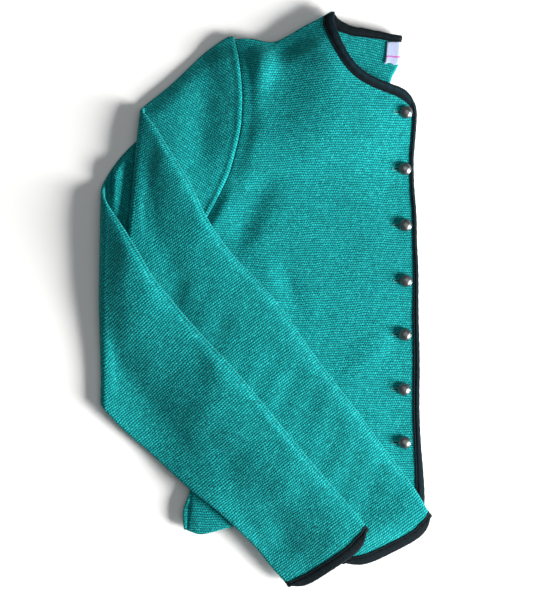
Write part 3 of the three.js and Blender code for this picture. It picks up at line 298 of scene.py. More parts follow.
def neck(P):
    v = np.where(inside(NECK_ZONE, P), 1.0, 1 - ramp(20, 75, distance(NECK_LINE, P)))
    return np.where((P[..., 1] < 130) | (P[..., 0] < 10), 0.0, v)


def low_neck(P):
    return np.where(P[..., 1] < 130, 0.0, np.maximum(neck(P), 1 - ramp(30, 80, distance(NECK_B, P))))


STEP, X0, Y0, NX, NY = 4.0, -196.0, -320.0, 100, 164
LX, LY = np.meshgrid(X0 + STEP * np.arange(NX), Y0 + STEP * np.arange(NY))
LATTICE = np.stack([LX, LY], -1)


def rasterise(points, floor=0.0):
    h = np.full(NX * NY, floor)
    for p in points:
        i = np.clip(np.round((p[:, 0] - X0) / STEP).astype(int), 0, NX - 1)
        j = np.clip(np.round((p[:, 1] - Y0) / STEP).astype(int), 0, NY - 1)
        np.maximum.at(h, j * NX + i, p[:, 2])
    return h.reshape(NY, NX)


def widen(h, n):
    for _ in range(n):
        b = h.copy()
        b[1:] = np.maximum(b[1:], h[:-1])
        b[:-1] = np.maximum(b[:-1], h[1:])
        b[:, 1:] = np.maximum(b[:, 1:], h[:, :-1])
        b[:, :-1] = np.maximum(b[:, :-1], h[:, 1:])
        h = b
    return h


def drape(lowest, fixed=None, rounds=500, soften=2, sag=SAG):
    """Cloth laid over a support: it rests where it touches and bends down elsewhere."""
    h = np.full_like(lowest, lowest.max())
    free = np.ones_like(lowest, bool)
    if fixed is not None:
        k = ~np.isnan(fixed)
        h[k] = fixed[k]
        free = ~k
    free[[0, -1]] = False
    free[:, [0, -1]] = False
    h[[0, -1]] = lowest[[0, -1]]
    h[:, [0, -1]] = lowest[:, [0, -1]]
    odd = (np.add.outer(np.arange(NY), np.arange(NX)) % 2).astype(bool)
    for _ in range(rounds):
        for colour in (odd, ~odd):
            v = np.zeros_like(h)
            v[1:-1, 1:-1] = (h[1:-1, :-2] + h[1:-1, 2:] + h[:-2, 1:-1] + h[2:, 1:-1]) / 4 - sag * STEP * STEP / 4
            m = free & colour
            h[m] = np.maximum(lowest, h + 1.7 * (v - h))[m]
    for _ in range(soften):
        b = h.copy()
        b[1:-1, 1:-1] = (4 * h[1:-1, 1:-1] + 2 * (h[1:-1, :-2] + h[1:-1, 2:] + h[:-2, 1:-1] + h[2:, 1:-1])
                         + h[:-2, :-2] + h[:-2, 2:] + h[2:, :-2] + h[2:, 2:]) / 16
        h = b
    return field(h)


def field(h):
    """Smooth (cubic spline) reading of a lattice."""
    def weights(t):
        return [(1 - t) ** 3 / 6, (3 * t**3 - 6 * t**2 + 4) / 6, (-3 * t**3 + 3 * t**2 + 3 * t + 1) / 6, t**3 / 6]

    def read(P):
        u = np.clip((P[..., 0] - X0) / STEP, 1, NX - 3.001)
        v = np.clip((P[..., 1] - Y0) / STEP, 1, NY - 3.001)
        i, j = u.astype(int), v.astype(int)
        wu, wv = weights(u - i), weights(v - j)
        out = 0
        for b in range(4):
            for a in range(4):
                out = out + wv[b] * wu[a] * h[j + b - 1, i + a - 1]
        return out
    return read


# ---- body panels -------------------------------------------------------------------------
def coons(left, right, bottom, top):
    u0, u1, v0, v1 = (lengths(p) / lengths(p)[-1] for p in (bottom, top, left, right))
    v = ((v0 + v1) / 2)[:, None]
    u = u0[None] + (u1 - u0)[None] * v
    vv = v0[:, None] + (v1 - v0)[:, None] * u
    u, vv = u[..., None], vv[..., None]
    c = ((1 - vv) * bottom[None] + vv * top[None] + (1 - u) * left[:, None] + u * right[:, None]
         - ((1 - u) * (1 - vv) * left[0] + u * (1 - vv) * right[0] + (1 - u) * vv * left[-1] + u * vv * right[-1]))
    c[0], c[-1], c[:, 0], c[:, -1] = bottom, top, left, right
    return c


def relax(plan, centre, near, far, rounds=40):
    """Evens out the columns of a plan round a place, its edges unmoved."""
    p = plan.copy()
    w = (1 - ramp(near, far, np.hypot(p[..., 0] - centre[0], p[..., 1] - centre[1])))[1:-1, 1:-1, None]
    for _ in range(rounds):
        p[1:-1, 1:-1] += w * ((p[1:-1, :-2] + p[1:-1, 2:] + p[:-2, 1:-1] + p[2:, 1:-1]) / 4 - p[1:-1, 1:-1])
    return p


def up_side(n):
    """Divisions from hem to armpit, closer at the hem."""
    t = np.linspace(0, 1, n + 1)
    first = np.array([0, 0.0011, 0.0028, 0.0055])
    return np.concatenate([first, 0.0055 + (1 - 0.0055) * np.linspace(0, 1, n + 1 - 3)[1:]]) if n > 8 else t


def half_plan(side, arm, shoulder):
    s = sideways(at(curve(side), np.linspace(0, 1, 400)), -INSET)
    s = at(s, up_side(NS))
    h = sideways(at(curve(shoulder), np.linspace(0, 1, 400)), -INSET)
    h = at(h, np.linspace(0, 1, NH + 1) ** 1.5)
    a = spaced(arm, NA)[::-1].copy()
    l = lengths(a)
    pit = np.array([arm[-1][0] + INSET, arm[-1][1]])
    a += (pit - a[0]) * (1 - ramp(0, 28, l))[:, None]
    a += (h[0] - a[-1]) * (1 - ramp(0, 28, l[-1] - l))[:, None]
    s[-1] = a[0] = pit
    a[-1] = h[0]
    return dict(side=s, arm=a, shoulder=h, left=np.concatenate([s, a[1:]]))


HA, HB = half_plan(SIDE_A, ARM_A, SHOULDER_A), half_plan(SIDE_B, ARM_B, SHOULDER_B)
ARMPIT_OUT, TIP_OUT = unit([-0.41, -0.91]), unit([-0.1, 1])


def side_out(h):
    """Direction in which the turned side edge bulges, turning to the sleeve's at the armpit."""
    o = np.tile([-1.0, 0.0], (NS + 1, 1))
    w = ramp(60, 0, (lengths(h["side"])[-1] - lengths(h["side"])))[:, None]
    return unit(o * (1 - w) + ARMPIT_OUT * w)


def shoulder_out(h):
    p = h["shoulder"]
    t = unit(np.concatenate([p[1:], p[-1:]]) - np.concatenate([p[:1], p[:-1]]))
    o = np.stack([-t[:, 1], t[:, 0]], -1)
    w = ramp(25, 0, lengths(p))[:, None]
    return unit(o * (1 - w) + TIP_OUT * w)


SEAM_ANGLE = math.asin((SEAM / 2 + 0.03) / (LAYER - HALF))


def panel(s, h, plan, z_near, z_far, warp, flip=False):
    """One front or back: flat part, and quarter-turned edges at the side and the shoulder."""
    order = (lambda g: g[:, ::-1]) if flip else (lambda g: g)
    zn, zf = z_near(plan), z_far(plan)
    ids = s.put(np.concatenate([plan, zn[..., None]], -1))
    uv = warp(plan)
    s.grid(order(ids), order(uv))
    turn = (math.pi / 2 - SEAM_ANGLE) * np.linspace(0, 1, NCURL + 1)

    def curl(p, out, near, far, id0, uv0):
        c, r = (near + far) / 2, (near - far) / 2
        x = p[:, None] + out[:, None] * (np.abs(r)[:, None] * np.sin(turn))[..., None]
        z = c[:, None] + r[:, None] * np.cos(turn)
        new = s.put(np.concatenate([x, z[..., None]], -1)[:, 1:])
        g = np.concatenate([id0[:, None], new], 1)
        w = uv0[:, None] + out[:, None] * (np.abs(r)[:, None] * turn)[..., None]
        return g, w
    g, w = curl(plan[:NS + 1, 0], side_out(h), zn[:NS + 1, 0], zf[:NS + 1, 0], ids[:NS + 1, 0], uv[:NS + 1, 0])
    s.grid(order(g[:, ::-1]), order(w[:, ::-1]))
    g2, w2 = curl(plan[-1, :NH + 1], shoulder_out(h), zn[-1, :NH + 1], zf[-1, :NH + 1], ids[-1, :NH + 1], uv[-1, :NH + 1])
    s.grid(order(g2.T), order(w2.transpose(1, 0, 2)))
    return ids, g, g2


# ---- folded binding swept along an edge -----------------------------------------------------
def bind(p, n, e, reach, closed=False, step=0.8, seed=1, stitch=True, roll=0.25, fat=0.0, follow=None, lines=None, slant=0.0, taper=None):
    """p points of the edge, n surface normals, e directions into the cloth, reach of the lips.
    follow is the cloth's height as a function of the plan with a weight per point, lines the
    points of the cloth inwards from each p: the lips keep to either."""
    if closed:
        p, n, e, reach = (np.concatenate([q, q[:1]]) for q in (p, n, e, reach))
        lines, taper = np.concatenate([lines, lines[:1]]), np.concatenate([taper, taper[:1]])
    L = lengths(p)
    count = max(8, int(L[-1] / step))
    s = np.linspace(0, L[-1], count + 1)
    if closed:
        s = s[:-1]

    def pick(q):
        return np.stack([np.interp(s, L, q[:, k]) for k in range(q.shape[1])], -1)
    P, N, E = pick(p), unit(pick(n)), pick(e)
    E = unit(E - N * (E * N).sum(-1, keepdims=True))
    w = np.interp(s, L, reach)
    k = 2 * math.pi * round(L[-1] / 9.0) / L[-1]
    uneven = (np.sin(k * s + seed) * 0.5 + waves1(s, seed, 21.0) * 0.5) if not closed else (
        sum(np.sin(2 * math.pi * f * s / L[-1] + f * seed) for f in (17, 23, 31, 39)) / 4)
    out = BIND_OUT + 0.16 * uneven
    high = BIND_HALF + 0.16 + fat + roll * 0.5 * uneven
    if taper is not None:
        tp = np.interp(s, L, taper)
        out, high = out * (0.5 + 0.5 * tp), high * (0.8 + 0.2 * tp)
    if not closed:
        end = np.clip(np.minimum(s, L[-1] - s) / 2.6, 0, 1)
        end = np.sqrt(1 - (1 - end) ** 2)
        high, out = high * (0.66 + 0.34 * end), out * (0.35 + 0.65 * end)
    st = 0.5 + 0.5 * np.sin(2 * math.pi * round(L[-1] / 2.6) / L[-1] * s) if stitch else np.full(len(s), 0.5)
    ac = np.minimum(0.9, 0.3 * w)
    groove = np.maximum(0.55 * w, w - 2.3)
    mid = (ac + groove) / 2
    lip = (groove + w) / 2
    rows = []
    for g in np.linspace(math.pi, math.pi / 2, 7)[1:]:
        rows.append((ac + (out + ac) * math.cos(g), high * math.sin(g) ** 0.85))
    top = rows
    top = top + [(mid, high - 0.02 - 0.3 * fat), (groove - 0.75, high - 0.3 - 0.4 * fat), (groove - 0.3, high - 0.55 - 0.5 * fat), (groove, high - 0.62 - 0.5 * fat - 0.3 * st),
                 (groove + 0.35, high - 0.48 - 0.5 * fat), (lip, high - 0.2 - 0.6 * fat), (w - 0.35, high - 0.36 - 0.6 * fat), (w, np.full(len(s), 1.28))]
    a = [(-out, np.zeros(len(s)))] + [(np.broadcast_to(x, s.shape), np.broadcast_to(y, s.shape)) for x, y in top]
    slot = [(w - 0.05, np.full(len(s), BIND_SLOT)), (np.full(len(s), -SEAM), np.full(len(s), BIND_SLOT))]
    below = [(x, -y) for x, y in a[1:]][::-1]
    ring = a + slot + [(x, -y) for x, y in slot[::-1]] + below
    A, B = np.stack([x for x, _ in ring], 1), np.stack([y for _, y in ring], 1)
    base = P[:, None] + E[:, None] * A[..., None]
    if follow:
        weight = np.interp(s, L, follow[1])[:, None]
        base[..., 2] += weight * (A > 0) * (follow[0](base[..., :2]) - base[..., 2])
    if lines is not None:
        R = np.stack([np.stack([np.interp(s, L, lines[:, k, j]) for j in range(3)], -1) for k in range(lines.shape[1])], 1)
        far = np.concatenate([np.zeros((len(s), 1)), np.cumsum(np.linalg.norm(np.diff(R, axis=1), axis=2), 1)], 1)
        for k in range(R.shape[1] - 1):
            t = (A - far[:, k:k + 1]) / np.maximum(far[:, k + 1:k + 2] - far[:, k:k + 1], 1e-6)
            m = (A > 0) & (t >= 0) & ((t < 1) | (k == R.shape[1] - 2))
            q = R[:, k][:, None] + (R[:, k + 1] - R[:, k])[:, None] * t[..., None]
            base = np.where(m[..., None], q, base)
    if slant:
        base = base + unit(P[0] - P[12]) * (-slant * A * ramp(20, 0, s)[:, None])[..., None]
    V = base + N[:, None] * B[..., None]
    c, m = V.shape[:2]
    ids = np.arange(c * m).reshape(c, m)
    girth = np.concatenate([np.zeros((c, 1)), np.cumsum(np.hypot(np.diff(A, axis=1), np.diff(B, axis=1)), 1)], 1)
    girth = np.concatenate([girth, girth[:, -1:] + 3], 1)
    along = np.repeat(s[:, None], m + 1, 1)
    uv = np.stack([girth, along], -1)
    g = np.concatenate([ids, ids[:, :1]], 1)
    if closed:
        g = np.concatenate([g, g[:1]])
        last = uv[:1].copy()
        last[..., 1] = L[-1]
        uv = np.concatenate([uv, last])
    pickf = [(slice(None, -1), slice(None, -1)), (slice(None, -1), slice(1, None)), (slice(1, None), slice(1, None)), (slice(1, None), slice(None, -1))]
    F = np.stack([g[q].ravel() for q in pickf], -1)
    W = np.stack([uv[q].reshape(-1, 2) for q in pickf], 1)
    V = V.reshape(-1, 3)
    caps = [] if closed else [list(ids[0])[::-1], list(ids[-1])]
    vol = (V[F[:, 0]] * (np.cross(V[F[:, 1]], V[F[:, 2]]) + np.cross(V[F[:, 2]], V[F[:, 3]]))).sum()
    if vol < 0:
        F, W, caps = F[:, ::-1], W[:, ::-1], [q[::-1] for q in caps]
    return V, F, W, caps


def edge_frames(s, ids, inner):
    """Frames along a sheet's edge: ids along it, inner the next points into the cloth."""
    P, Q, _ = s.arrays()
    N = normals(P, Q)[ids]
    p = P[ids]
    return p, N, unit(P[inner] - p)


# ---- sleeves ---------------------------------------------------------------------------------
def edge_fn(d, table):
    o, f = np.array(d["o"]), unit(d["d"])
    v = np.array([-f[1], f[0]])
    c = curve(table)

    def read(s):
        s = np.asarray(s, float)
        return o + s[..., None] * f + np.interp(s, c[:, 0], c[:, 1])[..., None] * v
    return read


class Fold:
    def __init__(self, a, b, radius):
        self.o, self.f = np.array(a, float), unit(np.array(b, float) - a)
        out = np.array([self.f[1], -self.f[0]])
        self.out = out if out[0] < 0 else -out
        self.a = radius

    def d(self, P):
        return (P - self.o) @ self.out

    def q(self, P):
        return (P - self.o) @ self.f


FOLD_LINE_A = Fold([-126.6, 197.5], [-139.0, 71.5], lambda q: np.full(np.shape(q), FOLD_A))
FOLD_LINE_B = Fold([-163.4, 106.0], [-167.2, -104.0], lambda q: 7.6 - 3.2 * ramp(95, 200, q))


def bender(fold, z0, z1):
    def up(z, P):
        dx = (z(P + [3, 0]) - z(P - [3, 0])) / 6
        dy = (z(P + [0, 3]) - z(P - [0, 3])) / 6
        return unit(np.stack([-dx, -dy, np.ones(len(P))], -1))

    def place(P, zeta):
        shape = P.shape[:-1]
        P, zeta = P.reshape(-1, 2), np.broadcast_to(zeta, shape).reshape(-1)
        out = np.zeros((len(P), 3))
        q, d = fold.q(P), fold.d(P)
        a = fold.a(q)
        L = math.pi * a
        m = d <= 0
        if m.any():
            out[m] = np.concatenate([P[m], z0(P[m])[:, None]], 1) + up(z0, P[m]) * zeta[m, None]
        m = d >= L
        if m.any():
            Q = fold.o + q[m, None] * fold.f - (d - L)[m, None] * fold.out
            out[m] = np.concatenate([Q, z1(Q)[:, None]], 1) - up(z1, Q) * zeta[m, None]
        m = (d > 0) & (d < L)
        if m.any():
            A = fold.o + q[m, None] * fold.f
            th, zz0, zz1 = math.pi * d[m] / L[m], z0(A), z1(A)
            b, c = (zz1 - zz0) / 2, (zz1 + zz0) / 2
            n = unit(np.stack([-b * np.sin(th), a[m] * np.cos(th)], -1))
            R = a[m] * np.sin(th) + n[:, 0] * zeta[m]
            out[m] = np.concatenate([A + fold.out * R[:, None], (c - b * np.cos(th) + n[:, 1] * zeta[m])[:, None]], 1)
        return out.reshape(*shape, 3)
    return place


NW, NE, N_ARM0, N_BEND, N_FORE = 50, 9, 46, 30, 168


def sleeve(d, fold, arm, tilt):
    """Rings of a flattened sleeve in the plane of the cloth before folding."""
    over, under = edge_fn(d, d["over"]), edge_fn(d, d["under"])
    s0, u0, s9, u9 = d["over"][0][0], d["under"][0][0], d["over"][-1][0], d["under"][-1][0]

    def solve(edge, a, b, phi):
        for _ in range(44):
            m = (a + b) / 2
            P = edge(m)
            if fold.d(P) - phi * math.pi * float(fold.a(fold.q(P))) > 0:
                b = m
            else:
                a = m
        return (a + b) / 2

    def outward(edge, s, sg, lo, hi):
        t = unit(edge(np.minimum(hi, s + 2)) - edge(np.maximum(lo, s - 2)))
        return np.stack([-t[..., 1] * sg, t[..., 0] * sg], -1)
    fo = [solve(over, s0, s9 * 0.6, k) for k in (0, 1)]
    fu = [solve(under, u0, u9 * 0.9, k) for k in (0, 1)]
    t0 = (np.arange(N_ARM0) / N_ARM0) ** 1.35
    t1 = np.arange(N_BEND + 1) / N_BEND
    t2 = np.arange(1, N_FORE + 1) / N_FORE
    so = np.concatenate([s0 + (fo[0] - s0) * t0, [solve(over, s0, s9 * 0.6, k) for k in t1], fo[1] + (s9 - fo[1]) * t2])
    su = np.concatenate([u0 + (fu[0] - u0) * t0, [solve(under, u0, u9 * 0.9, k) for k in t1], fu[1] + (u9 - fu[1]) * t2])
    kind = np.concatenate([np.zeros(N_ARM0), np.ones(N_BEND + 1), np.full(N_FORE, 2)]).astype(int)
    arm_t = np.concatenate([t0, np.ones(N_BEND + 1 + N_FORE)])
    leg = np.concatenate([np.zeros(N_ARM0 + N_BEND + 1), t2])
    eo, eu = outward(over, so, -1, s0, s9), outward(under, su, 1, u0, u9)
    w = (1 - ramp(0, 0.35, arm_t))[:, None]
    eo, eu = unit(eo * (1 - w) + TIP_OUT * w), unit(eu * (1 - w) + ARMPIT_OUT * w)
    lay = LAYER + (LEG_LAYER - LAYER) * ramp(0, 0.2, leg)
    Co, Cu = over(so) - eo * (lay + HALF)[:, None], under(su) - eu * (lay + HALF)[:, None]
    t = np.linspace(0, 1, NW + 1)
    W = 0.45 * t + 0.55 * (0.5 - 0.5 * np.cos(math.pi * t))
    mid = Co[:, None] + (Cu - Co)[:, None] * W[None, :, None]
    first = at(arm, W)
    k = np.where(kind == 0, (1 - arm_t) ** 1.3, 0)
    chord = first[0] + (first[-1] - first[0]) * W[:, None]
    mid = mid + (first - chord)[None] * k[:, None, None]
    mid[0] = first
    f = unit(d["d"])
    bow = np.where(kind == 2, d["cuffBow"] * ramp(0.3, 1, leg) ** 1.5, 0)
    mid = mid + f * (bow[:, None] * (1 - np.abs(2 * W - 1) ** d["cuffPower"]))[..., None]
    v = np.array([-f[1], f[0]])
    along, across = (mid - d["o"]) @ f, (mid - d["o"]) @ v
    along = along + tilt * across * (1 - ramp(60, 160, along))
    return dict(mid=mid, eo=eo, eu=eu, lay=lay, kind=kind, leg=leg, arm_t=arm_t, W=W, along=along, across=across, fold=fold)


def build_sleeve(S, z0, z1, plus, minus, upto=None):
    """plus and minus give what is added to the distance of each wall, from (row, width, plan)."""
    n = len(S["mid"]) if upto is None else upto
    place = bender(S["fold"], z0, z1)
    mid, lay, W = S["mid"][:n], S["lay"][:n], S["W"]
    base = np.broadcast_to(lay[:, None], mid.shape[:2])
    hi = place(mid, base + plus(S, n, mid))
    lo0 = place(mid, -base)
    lo = place(mid, -(base + minus(S, n, lo0[..., :2])))
    g = np.linspace(0, math.pi, NE + 2)[1:-1]
    def turn(c, e, sg):
        P = c[:, None] + e[:, None] * (lay[:, None] * np.sin(g))[..., None]
        return place(P, sg * lay[:, None] * np.cos(g))
    eu, eo = turn(mid[:, -1], S["eu"][:n], 1), turn(mid[:, 0], S["eo"][:n], -1)
    ring = np.concatenate([hi, eu, lo[:, ::-1], eo], 1)
    al, ac = S["along"][:n], S["across"][:n]
    arc = lay[:, None] * g
    u0, u1 = ac[:, :1], ac[:, -1:]
    sg = np.sign(u1 - u0)
    u = np.concatenate([ac, u1 + sg * arc, u1 + sg * math.pi * lay[:, None] + (u1 - ac[:, ::-1]), 2 * u1 - u0 + sg * (math.pi * lay[:, None] + arc),
                        2 * u1 - u0 + sg * 2 * math.pi * lay[:, None]], 1)
    v = np.concatenate([al, np.repeat(al[:, -1:], NE, 1), al[:, ::-1], np.repeat(al[:, :1], NE, 1), al[:, :1]], 1)
    s = Sheet()
    ids = s.put(ring)
    s.grid(ids, np.stack([u, v], -1), close=True)
    return s, ids


# ---- creases: picture x, y, height in mm, width on the left and right of the line ----
FRONT_CREASES = [
    [(246, 42, 0, 4, 9), (248, 58, -2.0, 4, 9), (249, 84, -2.4, 4, 10), (247, 116, -2.2, 4, 11), (240, 146, -1.6, 4, 11), (232, 166, 0, 4, 9)],
    [(262, 38, 0, 9, 13), (263, 54, 3.0, 9, 12), (262, 68, 2.8, 9, 12), (258, 92, 0, 9, 12)],
    [(288, 34, 0, 10, 24), (288, 50, -3.0, 12, 30), (281, 74, -3.4, 14, 36), (268, 102, -3.0, 13, 36), (252, 136, -1.2, 12, 32), (240, 166, 0, 10, 24)],
    [(226, 178, 0, 5, 11), (221, 196, 3.0, 5, 12), (214, 214, 3.4, 5, 12), (205, 234, 2.4, 5, 11), (198, 246, 0, 5, 10)],
    [(274, 168, 0, 15, 12), (262, 190, -2.4, 16, 14), (251, 216, -3.1, 16, 14), (240, 240, -2.8, 14, 13), (228, 262, 0, 12, 12)],
    [(262, 252, 0, 12, 10), (268, 272, 1.3, 13, 11), (276, 296, 1.5, 13, 11), (290, 322, 0, 12, 10)],
    [(280, 254, 0, 14, 9), (287, 278, -2.0, 14, 10), (297, 304, -1.6, 14, 10), (306, 324, 0, 12, 10)],
    [(318, 296, 0, 12, 10), (326, 316, -0.8, 13, 11), (334, 338, 0, 12, 10)],
    [(188, 492, 0, 5, 14), (193, 508, 1.5, 5, 15), (197, 528, 1.3, 5, 15), (199, 540, 0, 5, 14)],
    [(384, 322, 0, 12, 16), (370, 346, 1.3, 13, 18), (354, 368, 1.5, 13, 18), (338, 388, 0, 12, 16)],
    [(300, 128, 0, 24, 26), (290, 160, -0.9, 26, 28), (276, 190, 0, 24, 26)],
    [(350, 130, 0, 20, 22), (356, 170, 0.8, 22, 26), (350, 214, 0, 20, 24)],
    [(330, 210, 0, 22, 24), (338, 246, -0.7, 24, 26), (330, 286, 0, 22, 24)],
    [(398, 200, 0, 9, 7), (396, 222, -0.8, 9, 7), (398, 250, 0, 9, 7)],
    [(398, 312, 0, 9, 7), (395, 334, -0.8, 9, 7), (397, 360, 0, 9, 7)],
    [(396, 420, 0, 10, 8), (394, 442, -0.9, 10, 8), (396, 468, 0, 10, 8)],
]
CAP_CREASES = [
    [(212, 56, 0, 14, 14), (209, 72, -1.2, 16, 15), (205, 104, -1.8, 18, 16), (200, 150, -1.8, 18, 16), (194, 182, -1.2, 16, 15), (190, 206, 0, 14, 14)],
    [(204, 56, 0, 7, 7), (214, 76, -0.8, 8, 8), (226, 100, -0.3, 8, 8), (230, 112, 0, 8, 8)],
    [(172, 84, 0, 12, 14), (164, 104, 0.8, 13, 16), (162, 126, 0, 12, 14)],
]
FORE_A_CREASES = [
    [(143, 140, 0, 10, 18), (146, 172, -2.2, 9, 22), (150, 206, -4.0, 11, 32), (160, 240, -3.4, 12, 30), (178, 272, 0, 12, 18)],
    [(180, 244, 0, 13, 18), (190, 272, 1.9, 14, 20), (202, 304, 1.3, 13, 18), (214, 330, 0, 12, 16)],
    [(206, 300, 0, 14, 12), (222, 330, -1.2, 16, 14), (244, 356, 0, 14, 12)],
    [(256, 306, 0, 12, 12), (292, 352, 0.8, 14, 13), (326, 400, 0, 12, 12)],
    [(270, 346, 0, 14, 14), (300, 384, -1.3, 16, 16), (330, 416, 0, 14, 14)],
    [(330, 392, 0, 14, 14), (356, 430, 1.0, 14, 14), (384, 468, 0, 14, 14)],
    [(346, 456, 0, 14, 14), (372, 488, -1.1, 15, 15), (396, 512, 0, 12, 12)],
    [(350, 504, 0, 12, 12), (366, 518, -1.9, 13, 12), (386, 528, 0, 12, 10)],
]
FORE_B_CREASES = [
    [(140, 286, 0, 26, 22), (148, 318, 3.4, 32, 26), (154, 354, 3.6, 30, 30), (164, 394, 0, 22, 24)],
    [(206, 420, 0, 16, 24), (226, 454, -2.4, 16, 30), (246, 488, 0, 16, 24)],
    [(266, 502, 0, 12, 22), (282, 536, -2.5, 12, 26), (296, 556, 0, 12, 20)],
    [(98, 328, 0, 12, 12), (112, 350, -2.2, 15, 14), (130, 380, -3.2, 18, 14), (152, 410, -2.4, 18, 14), (178, 440, -1.2, 18, 15), (200, 468, -0.6, 16, 14), (216, 490, 0, 14, 14)],
    [(190, 336, 0, 14, 9), (201, 362, -1.9, 15, 10), (206, 388, 0, 14, 9)],
    [(180, 322, 0, 16, 12), (214, 366, 1.2, 16, 12), (250, 412, 0, 16, 12)],
    [(236, 392, 0, 16, 14), (262, 428, -1.2, 17, 14), (288, 462, 0, 16, 14)],
    [(262, 462, 0, 18, 16), (286, 488, 1.5, 20, 16), (292, 530, 0, 16, 14)],
    [(220, 486, 0, 12, 16), (238, 514, -1.2, 12, 16), (256, 540, -1.6, 12, 16), (272, 562, 0, 12, 14)],
    [(306, 478, 0, 14, 12), (330, 508, 1.0, 14, 12), (346, 530, 0, 12, 10)],
    [(300, 528, 0, 12, 12), (314, 544, -1.0, 12, 12), (326, 556, 0, 10, 10)],
]
UPPER_B_CREASES = [[(134, 136, 0, 10, 9), (121, 160, 8.0, 14, 11), (115, 184, 9.5, 14, 12), (112, 206, 8.0, 14, 12), (110, 236, 0, 12, 10)]]

OUT_LINE = [at(curve(t), np.linspace(0, 1, 36)) for t in (SIDE_A, ARM_A, SHOULDER_A, NECK_A, EDGE_A)]


def rim_distance(P):
    return np.min([distance(l, P) for l in OUT_LINE], axis=0)


def billow(P):
    """Fullness of the right front, which lies fuller than a flat board."""
    side, arm, top, neck_, edge_ = (distance(l, P) for l in OUT_LINE)
    d = np.minimum.reduce([side, arm, top, edge_])
    high = ramp(105, 200, P[..., 1])
    shoulder = ramp(-10, 28, top)
    rise = (ramp(0, 40, side) * (0.62 + 0.38 * ramp(-6, 66, edge_)) * shoulder * (0.80 + 0.20 * ramp(0, 26, neck_))
            * (4.6 * (0.5 * ramp(0, 22, arm) + 0.5 * ramp(0, 70, arm)) + high * (3.5 * ramp(0, 15, arm) - 2.1 + 4.6 * ramp(32, 104, arm)) * (1 - 0.6 * ramp(86, 230, arm))))
    lift = seam_lift(P) * (1 - ramp(50, 270, arm)) * shoulder
    groove = -0.5 * np.exp(-((arm / 2.2) ** 2))
    return (lift + rise + groove + np.maximum((relief(P, FRONT_CREASES) + 0.30 * waves(P, 5, 46)) * ramp(1, 13, d), -0.85 * (rise + lift) - 0.5)
            + relief(P, SIDE_SEAM))


def seam_lift(P):
    """Height to which the armhole seam is held up by its own bulk."""
    y = P[..., 1]
    return 7.4 * ramp(108, 172, y) * ramp(286, 240, y)


SIDE_SEAM = [[(196, 470, 0, 1.0, 1.0), (192.6, 486, -0.7, 1.0, 1.0), (189.8, 502, -0.9, 1.1, 1.0), (187.6, 524, -0.9, 1.1, 1.0), (187.2, 534, -0.9, 1.1, 1.0)],
             [(199, 474, 0, 1.6, 1.8), (195.4, 487, 0.35, 1.6, 1.8), (192.9, 503, 0.45, 1.6, 1.8), (190.8, 524, 0.45, 1.6, 1.8), (190.4, 534, 0.4, 1.6, 1.8)]]

droop = lambda P: np.zeros(P.shape[:-1])
z_fr0 = lambda P: Z_FRONT_RIGHT + LIFT_FR * neck(P) + droop(P)
z_fr = lambda P: z_fr0(P) + billow(P)
z_ba = lambda P: Z_BACK_HIGH + LIFT_BH * neck(P) + droop(P)
z_bb = lambda P: Z_BACK_LOW + LIFT_BL * neck(P)
z_fl = lambda P: Z_FRONT_LEFT + LIFT_FL * low_neck(P)


def warp_front(P):
    x, y = P[..., 0], P[..., 1]
    tilt = 0.22 * ramp(80, -40, x) * ramp(120, 230, y)
    bend = 2.2 * waves(P, 11, 150)
    return np.stack([x + 1.2 * waves(P, 12, 90), y + tilt * (x + 30) + bend], -1)


def warp_back(P):
    x, y = P[..., 0], P[..., 1]
    return np.stack([x - 0.2 * y, y + 0.22 * x + waves(P, 21, 110)], -1)


def warp_hidden(P):
    return np.stack([P[..., 0], P[..., 1] + 1.6 * waves(P, 31, 120)], -1)


# ---- lower half --------------------------------------------------------------------------------
def offset_arm(h):
    a = h["arm"]
    l = lengths(a)
    t = unit(np.gradient(a, axis=0))
    k = SEAM + 0.1 + 0.9 * ramp(25, 0, l) + 0.3 * ramp(25, 0, l[-1] - l)
    return (a + np.stack([-t[:, 1], t[:, 0]], -1) * k[:, None])[::-1]


def first_part(table, share, power=1.5):
    """Divisions along a hem: the first NH close together at the side, the rest even."""
    t = np.concatenate([share * np.linspace(0, 1, NH + 1) ** power, np.linspace(share, 1, len(table) + 1)[1:]])
    return t


def hem(table, n2, share=0.31):
    t = np.concatenate([share * np.linspace(0, 1, NH + 1) ** 1.5, np.linspace(share, 1, n2 + 1)[1:]])
    return at(curve(table), t)


def across(h, table, n2):
    return np.concatenate([h["shoulder"], at(curve([h["shoulder"][-1], *table]), np.linspace(0, 1, n2 + 1))[1:]])


RIGHT_T = np.concatenate([np.linspace(0, 1, TOP + 1)])


def right_side(table):
    """Points up the far side, matching the closer rows at the hem."""
    t = np.concatenate([up_side(NS) * NS / TOP, np.linspace(NS / TOP, 1, NA + 1)[1:]])
    return at(curve(table), t)


front_left = Sheet()
fl_plan = coons(HB["left"], right_side(FRONT_FOLD), hem([HB["side"][0], [-70, -238.8], *HEM_B[2:]], NN), across(HB, NECK_B[1:], NN))
fl_ids, fl_side, fl_top = panel(front_left, HB, fl_plan, lambda P: z_fl(P), z_bb, warp_hidden)
N_TURN, N_LAP = 12, 9
lap_plan = coons(right_side(FRONT_FOLD), right_side(UNDERLAP_EDGE), spaced([FRONT_FOLD[0], UNDERLAP_EDGE[0]], N_LAP), spaced(UNDERLAP_TOP, N_LAP))
edge = fl_plan[:, -1]
zn = z_fl(edge)
g = math.pi * np.arange(1, N_TURN + 1) / N_TURN
r = (Z_UNDERLAP - zn) / 2
turn = np.stack([edge[:, :1] + 3.0 * np.sin(g), np.repeat(edge[:, 1:], N_TURN, 1), zn[:, None] + r[:, None] * (1 - np.cos(g))], -1)
lap = np.concatenate([lap_plan[:, 1:], np.full(lap_plan[:, 1:, :1].shape, Z_UNDERLAP)], -1)
